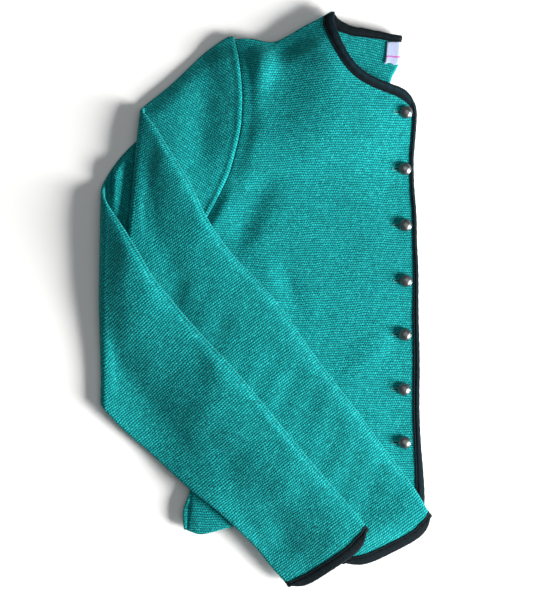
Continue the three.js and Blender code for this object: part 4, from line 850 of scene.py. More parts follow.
new = front_left.put(np.concatenate([turn, lap], 1))
fl_fold = np.concatenate([fl_ids[:, -1:], new], 1)
uv0 = warp_hidden(fl_plan[:, -1])
girth = np.concatenate([[0], np.cumsum(np.full(N_TURN, 10.0 / N_TURN)), 10.0 + np.cumsum(np.full(N_LAP, 17.0 / N_LAP))])
front_left.grid(fl_fold, uv0[:, None] + np.stack([girth, 0 * girth], -1)[None])

back = Sheet()
cb_curve = curve(CB_AXIS)
cb_t = np.concatenate([up_side(NS) * NS / TOP, np.linspace(NS / TOP, 1, NA + 1)[1:]])
cb = at(cb_curve, cb_t)
bb_plan = coons(HB["left"], cb, hem([HB["side"][0], [-70, -238.8], [-50, -236.5], [-30, -232], [40, -231], [90, -231.2], cb[0]], NBN), across(HB, BACK_NECK_B[1:], NBN))
neck_in = sideways(at(curve(BACK_NECK_A), np.linspace(0, 1, 9)), -BIND_OUT)
ba_plan = coons(HA["left"], cb, hem([HA["side"][0], [-70.9, -245.5], [-52, -242.6], [-32.9, -237.9], [-5, -234.4], [60, -233.5], cb[0]], NBN),
                across(HA, [*neck_in[1:-1], BACK_NECK_A[-1]], NBN))

# ---- the left upper arm lies on the floor, the upper half drapes over the lower one ----------------
z_arm_b = lambda P: np.full(P.shape[:-1], LAYER + HALF)
zero = lambda P: np.zeros(P.shape[:-1])
arm_line_a, arm_line_b = offset_arm(HA), offset_arm(HB)
S_B = sleeve(SLEEVE_B, FOLD_LINE_B, arm_line_b, 0.12)
S_A = sleeve(SLEEVE_A, FOLD_LINE_A, arm_line_a, 0.2)


def arm_crown(line, height, creases, z, lift=0.0, near=(2, 18), rim=0.12):
    def plus(S, n, mid):
        W = S["W"][None]
        k = (S["kind"][:n, None] == 0)
        away = -S["fold"].d(mid)
        w = np.minimum(W, 1 - W)
        seam = distance(at(line, np.linspace(0, 1, 50)), mid)
        crown = height * (1 - np.abs(2 * W - 1) ** 2.3) * ramp(0, 60, seam) * ramp(2, 40, away)
        held = lift * seam_lift(mid) * (1 - ramp(0, 46, seam)) * ramp(0, 0.10, w) * ramp(4, 20, away)
        rel = (relief(mid, creases, z) + 0.25 * waves(mid, 71, 40)) * ramp(0.0, rim, w) * ramp(*near, away) * ramp(-3, 9, seam)
        roll = 0.95 * np.exp(-(((seam - 3.2) / 2.4) ** 2)) * ramp(0, 0.06, w) * ramp(8, 20, away)
        return k * (np.maximum(crown + rel + held, -0.55) + roll)
    return plus


def fore_crown(height, creases, z, seed):
    def minus(S, n, XY):
        W = S["W"][None]
        leg = S["leg"][:n, None]
        w = np.minimum(W, 1 - W)
        crown = height * np.sin(math.pi * W ** 0.35) * ramp(-0.02, 0.12, leg) * (1 - 0.80 * ramp(0.78, 1, leg))
        rel = (relief(XY, creases, z) + 0.42 * waves(XY, seed, 34)) * ramp(0, 0.10, w) * ramp(0, 0.05, leg) * (1 - 0.7 * ramp(0.93, 1, leg))
        return (S["kind"][:n, None] == 2) * np.maximum(crown + rel, -1.1)
    return minus


# both layers of a forearm are held up along the edge that crosses the other arm, and a little at the cuff
EDGE_LIFT_A = [[(146, 108, 0, 30, 20), (160, 130, 2.8, 38, 22), (184, 166, 6.2, 50, 24), (208, 208, 7.6, 60, 24), (226, 236, 5.0, 60, 22), (248, 270, 0, 50, 20)]]
EDGE_LIFT_B = [[(106, 196, 0, 26, 18), (124, 232, 3.6, 32, 20), (150, 272, 4.2, 34, 22), (178, 308, 2.0, 32, 20), (206, 340, 0, 28, 18)]]
nothing = lambda S, n, P: np.zeros(P.shape[:-1])
plus_b = arm_crown(arm_line_b, 3.0, UPPER_B_CREASES, 5, near=(-1, 3), rim=0.03)
leg_b = thicken(build_sleeve(S_B, z_arm_b, zero, plus_b, nothing, N_ARM0 + 1)[0])
low_front = thicken(front_left)
REF = (Z_BACK_HIGH + Z_FRONT_RIGHT) / 2
foot = rasterise([leg_b[0], low_front[0]])
foot = np.where((foot > 0) | ((LX > 100) & (LY > -245) & (LY < 290)), REF, LAYER + HALF + 0.2)
fall = drape(widen(foot, 3), soften=3)
droop = lambda P: np.minimum(0, fall(P) - REF) * (1 - ramp(20, 50, P[..., 0])) * (1 - neck(P))
z_arm_a = lambda P: REF + droop(P)

bb_ids, bb_side, bb_top = panel(back, HB, bb_plan, z_bb, z_fl, warp_hidden)
ba_ids, ba_side, ba_top = panel(back, HA, ba_plan, z_ba, z_fr0, warp_back, flip=True)
pts = np.concatenate(back.P)
pa, pb = pts[bb_ids[:, -1]], pts[ba_ids[:, -1]]
r = (pb[:, 2] - pa[:, 2]) / 2
g = math.pi * np.arange(1, N_TURN) / N_TURN
k = np.arange(1, N_TURN) / N_TURN
arc = np.stack([pa[:, :1] + r[:, None] * np.sin(g), pa[:, 1:2] + (pb - pa)[:, 1:2] * k, pa[:, 2:] + r[:, None] * (1 - np.cos(g))], -1)
mids = back.put(arc)
cb_ids = np.concatenate([bb_ids[:, -1:], mids, ba_ids[:, -1:]], 1)
wa, wb = warp_hidden(pa[:, :2]), warp_back(pb[:, :2])
back.grid(cb_ids, wa[:, None] + (wb - wa)[:, None] * np.linspace(0, 1, N_TURN + 1)[None, :, None])

front_right = Sheet()
neck_line = sideways(at(curve(NECK_A), np.linspace(0, 1, 31)), -BIND_OUT)
edge_line = sideways(at(curve(EDGE_A), np.linspace(0, 1, 41)), -BIND_OUT)
fr_top = across(HA, [*neck_line[2:-1], (neck_line[30] + edge_line[0]) / 2], NN)
fr_right = right_side([[EDGE_A[-1][0] - BIND_OUT, EDGE_A[-1][1]], *edge_line[1:-1][::-1], fr_top[-1]])
fr_plan = coons(HA["left"], fr_right, hem([HA["side"][0], *HEM_A[2:-1], fr_right[0]], NN), fr_top)
fr_plan = relax(fr_plan, (76, 250), 34, 80)
fr_ids, fr_side, fr_topg = panel(front_right, HA, fr_plan, z_fr, z_ba, warp_front)


# ---- bindings of the body ---------------------------------------------------------------------------
def frames(s, ids, inner, along=False):
    P, Q, _ = s.arrays()
    p, N = P[ids], normals(P, Q)[ids]
    into = P[inner] - p
    if along:
        return p, N, unit(into)
    T = unit(np.gradient(p, axis=0))
    e = unit(np.cross(N, T))
    e *= np.sign((e * into).sum(-1, keepdims=True))
    return p, N, e


def smooth(q, n=3):
    for _ in range(n):
        q[1:-1] = (q[:-2] + 2 * q[1:-1] + q[2:]) / 4
    return q


def path_ids(ids):
    return ids[-1, NH:], ids[-2, NH:]


def level(v, first=5, last=0):
    """The first or last frames of a path, which lie on a turned corner, take the next ones' direction."""
    v = v.copy()
    v[:first] = v[first]
    if last:
        v[-last:] = v[-last - 1]
    return v


def reach_out(p, n, e, first=True, last=False, far=2.6):
    """Carries a path on past its ends, dipping a little."""
    for go, k, sg in ((first, 0, 1), (last, -1, -1)):
        if not go:
            continue
        t = unit((p[k] - p[k + 2 * sg]) * [1, 1, 0])
        new = np.array([p[k] + t * q * far + [0, 0, -0.5 * q * q] for q in (1.0, 0.66, 0.33)][::sg])
        same = lambda v: np.repeat(v[k][None], 3, 0)
        order = (lambda a, b: [a, b]) if sg == 1 else (lambda a, b: [b, a])
        p, n, e = np.concatenate(order(new, p)), np.concatenate(order(same(n), n)), np.concatenate(order(same(e), e))
    return p, n, e


def edge_width(p):
    t = np.array(EDGE_WIDTH)
    low = np.interp(p[:, 1], t[:, 0], t[:, 1])
    d = np.hypot(p[:, 0] - 158, p[:, 1] - 192)
    neck_width = 10.8 + 1.6 * ramp(250, 300, p[:, 1])
    return np.where(p[:, 1] > 190, 5.2 + (neck_width - 5.2) * ramp(6, 30, d), low)


a, b = path_ids(fr_ids)
b[-1] = fr_ids[-2, -2]
a = np.concatenate([a, fr_ids[:-1, -1][::-1]])
b = np.concatenate([b, fr_ids[:-1, -2][::-1]])
p, n, e = frames(front_right, a, b)
p, n, e = reach_out(p, smooth(level(n)), smooth(level(e)), far=1.2)
bind_fr = bind(p, n, e, edge_width(p) - BIND_OUT, step=0.65, seed=3, fat=0.45, follow=(z_fr, np.ones(len(p))), slant=0.1)
a, b = path_ids(fl_ids)
a = np.concatenate([a, fl_fold[-1, 1:], fl_fold[:-1, -1][::-1]])
b = np.concatenate([b, fl_fold[-2, 1:], fl_fold[:-1, -2][::-1]])
p, n, e = frames(front_left, a, b)
p, n, e = reach_out(p, smooth(level(n)), smooth(level(e), 5))
bind_fl = bind(p, n, e, np.full(len(p), BIND_LIP), step=1.3, seed=5)
a, b = path_ids(bb_ids)
c, d = path_ids(ba_ids)
a = np.concatenate([a, cb_ids[-1, 1:-1], c[::-1]])
b = np.concatenate([b, cb_ids[-2, 1:-1], d[::-1]])
p, n, e = frames(back, a, b)
p, n, e = reach_out(p, smooth(level(n, 4, 4)), smooth(level(e, 4, 4)), True, True)
wide = 10.2 - 2.0 * ramp(95, 135, p[:, 0]) + 2.6 * (1 - ramp(68, 92, p[:, 0])) * (p[:, 2] > 7)
bind_bn = bind(p, n, e, wide - BIND_OUT, step=0.7, seed=9, fat=0.3)

# ---- sleeves ------------------------------------------------------------------------------------------
plus_a = arm_crown(arm_line_a, 3.4, CAP_CREASES, 12, 1.0)
leg_a = thicken(build_sleeve(S_A, z_arm_a, zero, plus_a, nothing, N_ARM0 + 1)[0])
w_front, w_back = thicken(front_right), thicken(back)
under = [w_front[0], w_back[0], low_front[0], bind_fr[0], bind_fl[0]]
def corner_taper(p):
    """0 at the two ends of a flattened cuff, where it turns round, 1 away from them."""
    ends = [p[NW + 1:NW + 1 + NE].mean(0), p[2 * NW + 2 + NE:].mean(0)]
    return ramp(1.5, 17, np.min([np.linalg.norm((p - c)[:, :2], axis=1) for c in ends], axis=0))


ring_lines = lambda s, ids: np.stack([np.concatenate(s.P)[ids[-1 - k]] for k in range(7)], 1)
CUFF_LINE_A, CUFF_LINE_B = [[170, -222], [78, -277]], [[106, -240], [24, -302]]


def rise(points, cuff, held=0.0):
    h = widen(rasterise(points), 2)
    h = h + STACK_GAP + LEG_LAYER + HALF + 1.5 * (1 - ramp(16, 34, distance(cuff, LATTICE)))
    low = ramp(-225, -150, LATTICE[..., 1]) * (LATTICE[..., 0] < -70)
    return np.maximum(h, LEG_LAYER + HALF + 0.2 + held * low)


fixed = np.where(FOLD_LINE_A.d(LATTICE) > -2, z_arm_a(LATTICE) + 2 * FOLD_A, np.nan)
z_fore_a = drape(rise([*under, leg_a[0], leg_b[0]], CUFF_LINE_A), fixed, soften=10, sag=0.012)
rest_a = z_fore_a
z_fore_a = lambda P: rest_a(P) + relief(P, EDGE_LIFT_A, 14) + 4.2 * (1 - ramp(2, 76, distance(CUFF_LINE_A, P)))
sheet_a, ids_a = build_sleeve(S_A, z_arm_a, z_fore_a, plus_a, fore_crown(4.8, FORE_A_CREASES, 14, 81))
w_sleeve_a = thicken(sheet_a)
p, n, e = frames(sheet_a, ids_a[-1], ids_a[-2], along=True)
tp = corner_taper(p)
cuff_a = bind(p, n, e, 6.2 + 4.4 * tp, fat=0.4, lines=ring_lines(sheet_a, ids_a), taper=tp, closed=True, step=0.7, seed=2)

fixed = np.where(FOLD_LINE_B.d(LATTICE) > -2, z_arm_b(LATTICE) + 2 * FOLD_LINE_B.a(FOLD_LINE_B.q(LATTICE)), np.nan)
z_fore_b = drape(rise([*under, w_sleeve_a[0], cuff_a[0], leg_b[0]], CUFF_LINE_B, 4.0), fixed, soften=16, sag=0.008)
rest_b = z_fore_b
z_fore_b = lambda P: rest_b(P) + relief(P, EDGE_LIFT_B, 20) + 4.5 * (1 - ramp(2, 84, distance(CUFF_LINE_B, P)))
sheet_b, ids_b = build_sleeve(S_B, z_arm_b, z_fore_b, plus_b, fore_crown(5.2, FORE_B_CREASES, 20, 91))
w_sleeve_b = thicken(sheet_b)
p, n, e = frames(sheet_b, ids_b[-1], ids_b[-2], along=True)
tp = corner_taper(p)
cuff_b = bind(p, n, e, 6.2 + 4.4 * tp, fat=0.4, lines=ring_lines(sheet_b, ids_b), taper=tp, closed=True, step=0.7, seed=4)

# ---- label round the centre-back fold --------------------------------------------------------------------
label = Sheet()
cb_up = cb_curve[np.argsort(cb_curve[:, 1])]
t = np.linspace(0, 1, 25)
wide = np.linspace(1, 0, 12)
rows, luv = [], []
for q in t:
    y = 272.6 - 24.0 * q
    x = float(np.interp(y, cb_up[:, 1], cb_up[:, 0]))
    P = np.array([[x, y]])
    zl, zh = float(z_bb(P)[0]), float(z_ba(P)[0])
    r, c = (zh - zl) / 2 + HALF + SEAM + 0.25, (zh + zl) / 2
    wave = 0.9 * np.sin(wide * 7.0 + 0.6) * q**3
    lift = 0.9 * wide**2 * (0.4 + 0.6 * q)
    low = np.stack([x - 12.4 * wide, y - 12.4 * wide * 0.16 + wave, c - r - lift * 0.4], -1)
    g = math.pi * np.arange(1, 12) / 12
    arc = np.stack([x + r * np.sin(g), np.full(11, y), c - r * np.cos(g)], -1)
    high = np.stack([x - 12.4 * wide[::-1], y + 1.8 * wide[::-1] * (q - 0.4) - wave[::-1], c + r + lift[::-1]], -1)
    row = np.concatenate([low, arc, high])
    rows.append(row)
    luv.append(np.stack([lengths(row), np.full(len(row), 24.0 * q)], -1))
ids = label.put(np.array(rows))
label.grid(ids, np.array(luv))
w_label = thicken(label, 0.45, 0.3)


# ---- materials -------------------------------------------------------------------------------------------
class Nodes:
    """Small helper for procedural node materials."""
    def __init__(self, name):
        self.mat = bpy.data.materials.new(name)
        self.mat.use_nodes = True
        self.t = self.mat.node_tree
        self.bsdf = self.t.nodes["Principled BSDF"]
        self.uv = self.t.nodes.new("ShaderNodeUVMap")
        self.uv.uv_map = "cut"
        self.x = 0

    def new(self, kind, **props):
        n = self.t.nodes.new(kind)
        self.x += 1
        n.location = (-200 * (self.x % 12), -160 * (self.x // 12))
        for k, v in props.items():
            setattr(n, k, v)
        return n

    def put(self, socket, v):
        if hasattr(v, "is_output"):
            self.t.links.new(v, socket)
        else:
            socket.default_value = v

    def m(self, op, a, b=0.0, c=0.0):
        n = self.new("ShaderNodeMath", operation=op)
        for s, v in zip(n.inputs, (a, b, c)):
            self.put(s, v)
        return n.outputs[0]

    def mix(self, f, a, b, blend="MIX"):
        n = self.new("ShaderNodeMix", data_type="RGBA", blend_type=blend)
        self.put(n.inputs[0], f)
        self.put(n.inputs[6], a)
        self.put(n.inputs[7], b)
        return n.outputs[2]

    def noise(self, vec, scale, detail=2.0, rough=0.5):
        n = self.new("ShaderNodeTexNoise")
        self.put(n.inputs["Vector"], vec)
        n.inputs["Scale"].default_value = scale
        n.inputs["Detail"].default_value = detail
        n.inputs["Roughness"].default_value = rough
        return n.outputs["Fac"]

    def white(self, vec):
        n = self.new("ShaderNodeTexWhiteNoise", noise_dimensions="3D")
        self.put(n.inputs["Vector"], vec)
        return n.outputs["Value"]

    def split(self, vec):
        n = self.new("ShaderNodeSeparateXYZ")
        self.put(n.inputs[0], vec)
        return n.outputs[0], n.outputs[1]

    def join(self, x, y, z=0.0):
        n = self.new("ShaderNodeCombineXYZ")
        for s, v in zip(n.inputs, (x, y, z)):
            self.put(s, v)
        return n.outputs[0]

    def bump(self, height, strength, dist, normal=None):
        n = self.new("ShaderNodeBump")
        n.inputs["Strength"].default_value = strength
        n.inputs["Distance"].default_value = dist
        self.put(n.inputs["Height"], height)
        if normal is not None:
            self.put(n.inputs["Normal"], normal)
        return n.outputs[0]


def rgb(r, g, b):
    f = lambda c: (c / 12.92 if c <= 0.04045 else ((c + 0.055) / 1.055) ** 2.4)
    return (f(r / 255), f(g / 255), f(b / 255), 1.0)


COURSE, WALE = 2.5, 2.5     # mm


def wool(name, course=COURSE, wale=WALE, seed=0.0, ridge=0.5):
    """Felted plain knit: purl bumps in courses, brick-laid, with painted shade in the hollows between them and a
    painted highlight on their tops.
    """
    n = Nodes(name)
    u, v = n.split(n.uv.outputs[0])
    flat = n.join(u, v, seed)
    drift = n.m("MULTIPLY", n.m("SUBTRACT", n.noise(flat, 0.045, 2), 0.5), 4.0)
    small = n.m("MULTIPLY", n.m("SUBTRACT", n.noise(flat, 0.33, 1), 0.5), 1.5)
    vv = n.m("DIVIDE", n.m("ADD", v, n.m("ADD", drift, small)), course)
    row = n.m("FLOOR", vv)
    fv = n.m("SUBTRACT", vv, row)
    shift = n.m("MULTIPLY", n.m("MODULO", row, 2.0), 0.5)
    uu = n.m("ADD", n.m("DIVIDE", n.m("ADD", u, n.m("MULTIPLY", n.m("SUBTRACT", n.noise(flat, 0.29, 1), 0.5), 1.6)), wale), shift)
    col = n.m("FLOOR", uu)
    fu = n.m("SUBTRACT", uu, col)
    cell = n.join(col, row, seed + 1.0)
    rnd = n.white(cell)
    rnd2 = n.white(n.join(col, row, seed + 7.0))
    # a loop's arc sits high in the middle and lower at the ends of the stitch
    arch = n.m("MULTIPLY", n.m("SUBTRACT", n.m("ABSOLUTE", n.m("SUBTRACT", fu, 0.5)), 0.25), 0.34)
    line = n.m("SINE", n.m("MULTIPLY", n.m("ADD", fv, arch), math.pi))
    line = n.m("POWER", n.m("ABSOLUTE", line), 1.1)
    head = n.m("ADD", 1 - ridge, n.m("MULTIPLY", n.m("POWER", n.m("ABSOLUTE", n.m("SINE", n.m("MULTIPLY", fu, math.pi))), 0.8), ridge))
    loop = n.m("MULTIPLY", n.m("MULTIPLY", line, head), n.m("ADD", 0.66, n.m("MULTIPLY", rnd, 0.44)))
    fuzz = n.noise(flat, 1.5, 3, 0.6)
    height = n.m("ADD", loop, n.m("MULTIPLY", fuzz, 0.6))
    broad = n.noise(n.join(u, v, seed + 3.0), 0.03, 3, 0.55)
    hollow_shade_colour, mid, loop_highlight_colour = rgb(1, 80, 83), rgb(8, 146, 148), rgb(34, 180, 180)
    # painted shade and painted highlight: the colour is darkened where the loops dip and lightened on their tops, mixed
    # with random tone from the fuzz noise
    loop_shade_and_fuzz_tone = n.m("ADD", n.m("MULTIPLY", loop, 1.0), n.m("MULTIPLY", n.m("SUBTRACT", fuzz, 0.5), 0.7))
    c = n.mix(n.m("MULTIPLY", loop_shade_and_fuzz_tone, 1.55), hollow_shade_colour, mid)
    c = n.mix(n.m("MULTIPLY", n.m("MAXIMUM", n.m("SUBTRACT", loop_shade_and_fuzz_tone, 0.62), 0.0), 1.9), c, loop_highlight_colour)
    c = n.mix(n.m("MULTIPLY", n.m("GREATER_THAN", rnd2, 0.93), 0.22), c, rgb(48, 190, 186))
    c = n.mix(n.m("MULTIPLY", n.m("LESS_THAN", rnd2, 0.06), 0.3), c, rgb(3, 66, 70))
    val = n.m("ADD", 0.86, n.m("MULTIPLY", broad, 0.28))
    c = n.mix(1.0, c, n.join(val, val, val), "MULTIPLY")
    n.put(n.bsdf.inputs["Base Color"], c)
    n.put(n.bsdf.inputs["Roughness"], 0.92)
    n.put(n.bsdf.inputs["Specular IOR Level"], 0.15)
    n.put(n.bsdf.inputs["Sheen Weight"], 0.22)
    n.put(n.bsdf.inputs["Sheen Roughness"], 0.45)
    n.put(n.bsdf.inputs["Sheen Tint"], rgb(120, 215, 210))
    b = n.bump(height, 0.6, 0.0010)
    b = n.bump(n.noise(flat, 3.2, 2, 0.6), 0.25, 0.0004, b)
    n.put(n.bsdf.inputs["Normal"], b)
    return n.mat


def tape(name):
    """Dark folded binding of a fine firm knit, slightly napped, with a painted highlight along the high side of its
    roll and a few lighter worn patches.
    """
    n = Nodes(name)
    u, v = n.split(n.uv.outputs[0])
    flat = n.join(u, v, 0.0)
    ribs = n.m("SINE", n.m("MULTIPLY", n.m("ADD", u, n.m("MULTIPLY", n.noise(flat, 0.5, 1), 0.8)), 2 * math.pi / 0.95))
    rows = n.m("SINE", n.m("MULTIPLY", n.m("ADD", v, n.m("MULTIPLY", n.noise(flat, 0.6, 1), 0.6)), 2 * math.pi / 1.2))
    weave = n.m("MULTIPLY", ribs, rows)
    nap = n.noise(flat, 1.6, 3, 0.62)
    wear_and_highlight_noise = n.noise(flat, 0.12, 3, 0.55)
    c = n.mix(nap, rgb(0, 5, 9), rgb(4, 21, 28))
    # painted highlight: a lighter band along the high side of the roll, about 5.2 mm round the girth, its strength
    # varied by noise
    off = n.m("DIVIDE", n.m("SUBTRACT", u, 5.2), 1.8)
    painted_highlight_band = n.m("EXPONENT", n.m("MULTIPLY", n.m("MULTIPLY", off, off), -1.0))
    c = n.mix(n.m("MULTIPLY", painted_highlight_band, n.m("ADD", 0.2, n.m("MULTIPLY", wear_and_highlight_noise, 0.5))), c, rgb(16, 52, 64))
    c = n.mix(n.m("MULTIPLY", n.m("MAXIMUM", weave, 0.0), 0.25), c, rgb(8, 36, 45))
    c = n.mix(n.m("MULTIPLY", n.m("MAXIMUM", n.m("SUBTRACT", wear_and_highlight_noise, 0.55), 0.0), 1.0), c, rgb(11, 40, 48))
    n.put(n.bsdf.inputs["Base Color"], c)
    n.put(n.bsdf.inputs["Roughness"], 0.7)
    n.put(n.bsdf.inputs["Specular IOR Level"], 0.12)
    n.put(n.bsdf.inputs["Sheen Weight"], 0.03)
    n.put(n.bsdf.inputs["Sheen Roughness"], 0.4)
    n.put(n.bsdf.inputs["Sheen Tint"], rgb(110, 160, 175))
    b = n.bump(n.m("ADD", n.m("MULTIPLY", weave, 0.5), nap), 0.6, 0.0004)
    n.put(n.bsdf.inputs["Normal"], b)
    return n.mat


def metal(name):
    n = Nodes(name)
    obj = n.new("ShaderNodeTexCoord").outputs["Object"]
    spots = n.noise(obj, 900, 4, 0.6)
    broad = n.noise(obj, 260, 2, 0.5)
    c = n.mix(broad, rgb(74, 77, 79), rgb(160, 164, 166))
    c = n.mix(n.m("MULTIPLY", n.m("MAXIMUM", n.m("SUBTRACT", spots, 0.55), 0.0), 2.5), c, rgb(58, 60, 60))
    n.put(n.bsdf.inputs["Base Color"], c)
    n.put(n.bsdf.inputs["Metallic"], 1.0)
    n.put(n.bsdf.inputs["Roughness"], n.m("ADD", 0.2, n.m("MULTIPLY", spots, 0.22)))
    n.put(n.bsdf.inputs["Normal"], n.bump(n.m("ADD", spots, broad), 0.35, 0.0003))
    return n.mat


def cotton(name):
    """White woven label with one coloured stripe."""
    n = Nodes(name)
    u, v = n.split(n.uv.outputs[0])
    flat = n.join(u, v, 0.0)
    warp = n.m("MULTIPLY", n.m("SINE", n.m("MULTIPLY", u, 2 * math.pi / 0.55)), n.m("SINE", n.m("MULTIPLY", v, 2 * math.pi / 0.5)))
    nap = n.noise(flat, 0.5, 3)
    c = n.mix(nap, rgb(158, 170, 204), rgb(178, 188, 218))
    off = n.m("ABSOLUTE", n.m("SUBTRACT", n.m("ADD", v, n.m("MULTIPLY", n.noise(flat, 0.2, 1), 0.4)), 16.4))
    line = n.m("LESS_THAN", off, 0.85)
    c = n.mix(line, c, rgb(186, 84, 172))
    n.put(n.bsdf.inputs["Base Color"], c)
    n.put(n.bsdf.inputs["Roughness"], 0.62)
    n.put(n.bsdf.inputs["Normal"], n.bump(n.m("ADD", warp, nap), 0.4, 0.0002))
    return n.mat


def thread(name):
    n = Nodes(name)
    obj = n.new("ShaderNodeTexCoord").outputs["Object"]
    f = n.noise(obj, 1400, 2)
    n.put(n.bsdf.inputs["Base Color"], n.mix(f, rgb(6, 104, 106), rgb(46, 176, 174)))
    n.put(n.bsdf.inputs["Roughness"], 0.7)
    n.put(n.bsdf.inputs["Sheen Weight"], 0.2)
    n.put(n.bsdf.inputs["Normal"], n.bump(f, 0.4, 0.0002))
    return n.mat


WOOL_FRONT, WOOL_SLEEVE = wool("wool_front", ridge=0.54), wool("wool_sleeve", 2.6, 2.3, 5.0, ridge=0.6)
WOOL_BACK = wool("wool_back", 2.5, 2.5, 9.0, ridge=0.54)
TAPE, METAL, COTTON, THREAD = tape("binding_tape"), metal("pewter"), cotton("label_cotton"), thread("buttonhole_thread")


# ---- pieces ------------------------------------------------------------------------------------------------
def piece(name, V, F, W, mat, node, slot, caps=()):
    faces = [*map(tuple, F.tolist()), *map(tuple, caps)]
    me = bpy.data.meshes.new(name)
    me.from_pydata(((V + OFFSET) * 0.001).tolist(), [], faces)
    uv = me.uv_layers.new(name="cut")
    flat = np.concatenate([W.reshape(-1, 2), np.zeros((sum(len(c) for c in caps), 2))])
    uv.data.foreach_set("uv", flat.ravel().astype(np.float32))
    me.polygons.foreach_set("use_smooth", np.ones(len(faces), bool))
    me.materials.append(mat)
    me.validate()
    me.update()
    o = bpy.data.objects.new(name, me)
    bpy.context.scene.collection.objects.link(o)
    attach(o, "root")
    if node:
        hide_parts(node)
    return o


def cloth(name, made, mat, node):
    return piece(name, *made, mat, node, "wool")


def bound(name, made, node):
    return piece(name, *made[:3], TAPE, node, "binding", made[3])


o_front_r = cloth("front_right_knit", w_front, WOOL_FRONT, "front_right")
o_front_l = cloth("front_left_knit", low_front, WOOL_FRONT, "front_left")
o_back = cloth("back_knit", w_back, WOOL_BACK, "back")
o_sleeve_r = cloth("sleeve_right_knit", w_sleeve_a, WOOL_SLEEVE, "sleeve_right")
o_sleeve_l = cloth("sleeve_left_knit", w_sleeve_b, WOOL_SLEEVE, "sleeve_left")
o_bind_fr = bound("binding_front_right_tape", bind_fr, "binding_front_right")
o_bind_fl = bound("binding_front_left_tape", bind_fl, "binding_front_left")
o_bind_bn = bound("binding_neck_back_tape", bind_bn, "binding_neck_back")
o_cuff_r = bound("binding_cuff_right_tape", cuff_a, "binding_cuff_right")
o_cuff_l = bound("binding_cuff_left_tape", cuff_b, "binding_cuff_left")
o_label = piece("label_blank", *w_label, COTTON, "label", "label")


# ---- buttons: domed pewter, with a rolled rim and a shank --------------------------------------------------
def z_at(x, y):
    return float(z_fr(np.array([[x, y]]))[0])


def lathe(prof, n, cx, cy, ripple=0.0, seed=0):
    V, F = [], []
    rings = []
    for r, z in prof:
        if r == 0:
            V.append((cx, cy, z))
            rings.append([len(V) - 1])
            continue
        ids = []
        for i in range(n):
            a = 2 * math.pi * i / n
            rr = r * (1 + ripple * math.sin(3 * a + seed) * (r / 6.75))
            V.append((cx + rr * math.cos(a), cy + rr * math.sin(a), z))
            ids.append(len(V) - 1)
        rings.append(ids)
    for a, b in zip(rings, rings[1:]):
        for i in range(n):
            j = (i + 1) % n
            if len(a) == 1:
                F.append((a[0], b[j], b[i]))
            elif len(b) == 1:
                F.append((a[i], a[j], b[0]))
            else:
                F.append((a[i], a[j], b[j], b[i]))
    return np.array(V), F


def plain(name, V, F, mat, node):
    me = bpy.data.meshes.new(name)
    me.from_pydata(((np.asarray(V) + OFFSET) * 0.001).tolist(), [], F)
    me.polygons.foreach_set("use_smooth", np.ones(len(F), bool))
    me.materials.append(mat)
    me.validate()
    me.update()
    o = bpy.data.objects.new(name, me)
    bpy.context.scene.collection.objects.link(o)
    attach(o, "root")
    if node:
        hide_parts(node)
    return o


R_BUTTON = 6.75
buttons = []
for i, (x, y) in enumerate(BUTTONS):
    low = Z_UNDERLAP + (HALF if i else BIND_HALF) + SEAM
    base = z_at(x, y) + BIND_HALF + 0.35
    prof = [(0, low), (2.1, low), (2.3, low + 0.35), (1.5, low + 0.9), (1.1, low + 1.5), (1.1, base - 0.4), (1.6, base), (5.4, base - 0.1), (6.1, base - 0.05),
            (6.55, base + 0.15), (6.75, base + 0.5), (6.72, base + 0.85), (6.5, base + 1.1), (6.3, base + 1.2)]
    for k in range(1, 15):
        g = k / 14 * math.pi / 2
        prof.append((6.25 * math.cos(g) if k < 14 else 0, base + 1.22 + 3.75 * math.sin(g)))
    V, F = lathe(prof, 56, x, y, 0.004, i)
    buttons.append(plain(f"button_{i + 1}_dome", V, F, METAL, f"button_{i + 1}"))

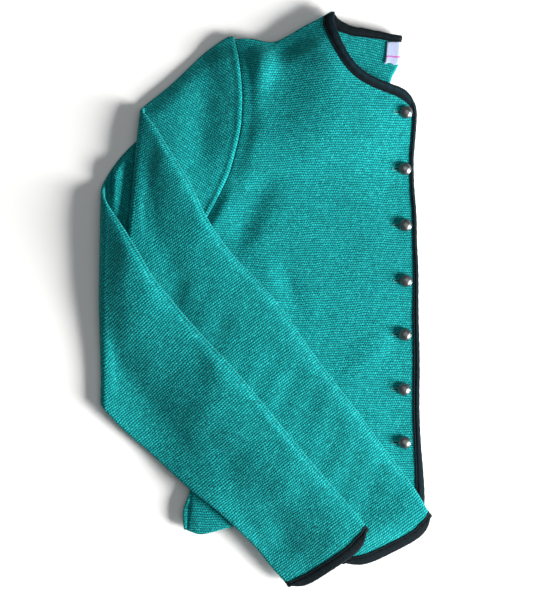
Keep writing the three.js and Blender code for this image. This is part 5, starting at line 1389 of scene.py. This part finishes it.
# buttonholes: a bar-shaped ring of close stitches round a slit
for i, (x, y) in enumerate(BUTTONS):
    length, n, m = 15.5, 150, 8
    x1, x0 = x + 2.2, x + 2.2 - length
    hw = 1.15
    t = np.linspace(0, 1, n, endpoint=False)
    straight = length - 2 * hw
    total = 2 * straight + 2 * math.pi * hw
    path = []
    for q in t * total:
        if q < straight:
            path.append((x0 + hw + q, y - hw, 0, -1))
        elif q < straight + math.pi * hw:
            g = (q - straight) / hw - math.pi / 2
            path.append((x1 - hw + hw * math.cos(g), y + hw * math.sin(g), math.cos(g), math.sin(g)))
        elif q < 2 * straight + math.pi * hw:
            path.append((x1 - hw - (q - straight - math.pi * hw), y + hw, 0, 1))
        else:
            g = (q - 2 * straight - math.pi * hw) / hw + math.pi / 2
            path.append((x0 + hw + hw * math.cos(g), y + hw * math.sin(g), math.cos(g), math.sin(g)))
    path = np.array(path)
    zz = z_fr(path[:, :2]) + HALF - 0.05
    V, F = [], []
    for k, (a, b, nx, ny) in enumerate(path):
        r = 0.52 + 0.10 * math.sin(k * 2 * math.pi / 3.0) + 0.05 * math.sin(k * 0.37 + i)
        for j in range(m):
            g = 2 * math.pi * j / m
            V.append((a + nx * (0.62 + 0.25 * (k % 2)) * math.cos(g) * 1.0, b + ny * (0.62 + 0.25 * (k % 2)) * math.cos(g), zz[k] + r * math.sin(g)))
    for k in range(n):
        for j in range(m):
            a, b, c, d = k * m + j, k * m + (j + 1) % m, ((k + 1) % n) * m + (j + 1) % m, ((k + 1) % n) * m + j
            F.append((a, b, c, d))
    plain(f"buttonhole_{i + 1}_stitch", V, F, THREAD, None)
    # the slit: a thin dark sheet laid on the cloth, painted shade standing in for the shadowed gap
    k = 40
    V, F = [], []
    for s, zo in ((1, 0.14), (0, 0.20)):
        for j in range(k):
            g = 2 * math.pi * j / k
            V.append(((x0 + x1) / 2 + (length / 2 - 0.9) * math.cos(g), y + 0.62 * math.sin(g), 0))
    V = np.array(V, float)
    zc = z_fr(V[:, :2]) + HALF
    V[:k, 2], V[k:, 2] = zc[:k] + 0.16, zc[k:] - 0.2
    F = [tuple(range(k)), tuple(range(2 * k - 1, k - 1, -1))] + [(j, j + k, (j + 1) % k + k, (j + 1) % k) for j in range(k)]
    plain(f"buttonhole_{i + 1}_slit_shade", V, F, TAPE, None)


# ---- floor, light, camera -------------------------------------------------------------------------------------
me = bpy.data.meshes.new("floor")
me.from_pydata([(-4, -4, 0), (4, -4, 0), (4, 4, 0), (-4, 4, 0)], [], [(0, 1, 2, 3)])
floor = bpy.data.objects.new("floor", me)
bpy.context.scene.collection.objects.link(floor)
fl = Nodes("floor_paper")
fl.put(fl.bsdf.inputs["Base Color"], (0.93, 0.93, 0.925, 1))
fl.put(fl.bsdf.inputs["Roughness"], 0.8)
me.materials.append(fl.mat)

world = bpy.data.worlds.new("studio")
bpy.context.scene.world = world
world.use_nodes = True
world.node_tree.nodes["Background"].inputs[0].default_value = (0.95, 0.98, 1.0, 1)
world.node_tree.nodes["Background"].inputs[1].default_value = 0.15


def area_light(name, at_, to, size, watts, colour=(1, 1, 1)):
    d = bpy.data.lights.new(name, "AREA")
    d.shape, d.size, d.size_y, d.energy, d.color = "RECTANGLE", size[0], size[1], watts, colour
    o = bpy.data.objects.new(name, d)
    o.location = at_
    o.rotation_mode = "QUATERNION"
    o.rotation_quaternion = (Vector(to) - Vector(at_)).to_track_quat("-Z", "Y")
    bpy.context.scene.collection.objects.link(o)
    return o


area_light("key", (2.75, -1.18, 1.09), (0, 0, 0), (1.4, 1.25), 370, (1.0, 0.99, 0.97))
area_light("fill", (0.5, 0.3, 2.0), (0, 0, 0), (1.6, 1.6), 7, (0.97, 0.99, 1.0))

cam = bpy.data.cameras.new("camera")
cam.sensor_width, cam.sensor_fit, cam.lens = 36.0, "AUTO", 91.02
cam.clip_start, cam.clip_end = 0.05, 20
camera = bpy.data.objects.new("camera", cam)
camera.location = (0.01132, -0.00046, 1.6)
bpy.context.scene.collection.objects.link(camera)
bpy.context.scene.camera = camera
bpy.context.scene.view_settings.view_transform = "Standard"
bpy.context.scene.view_settings.look = "None"

bpy.context.view_layer.update()
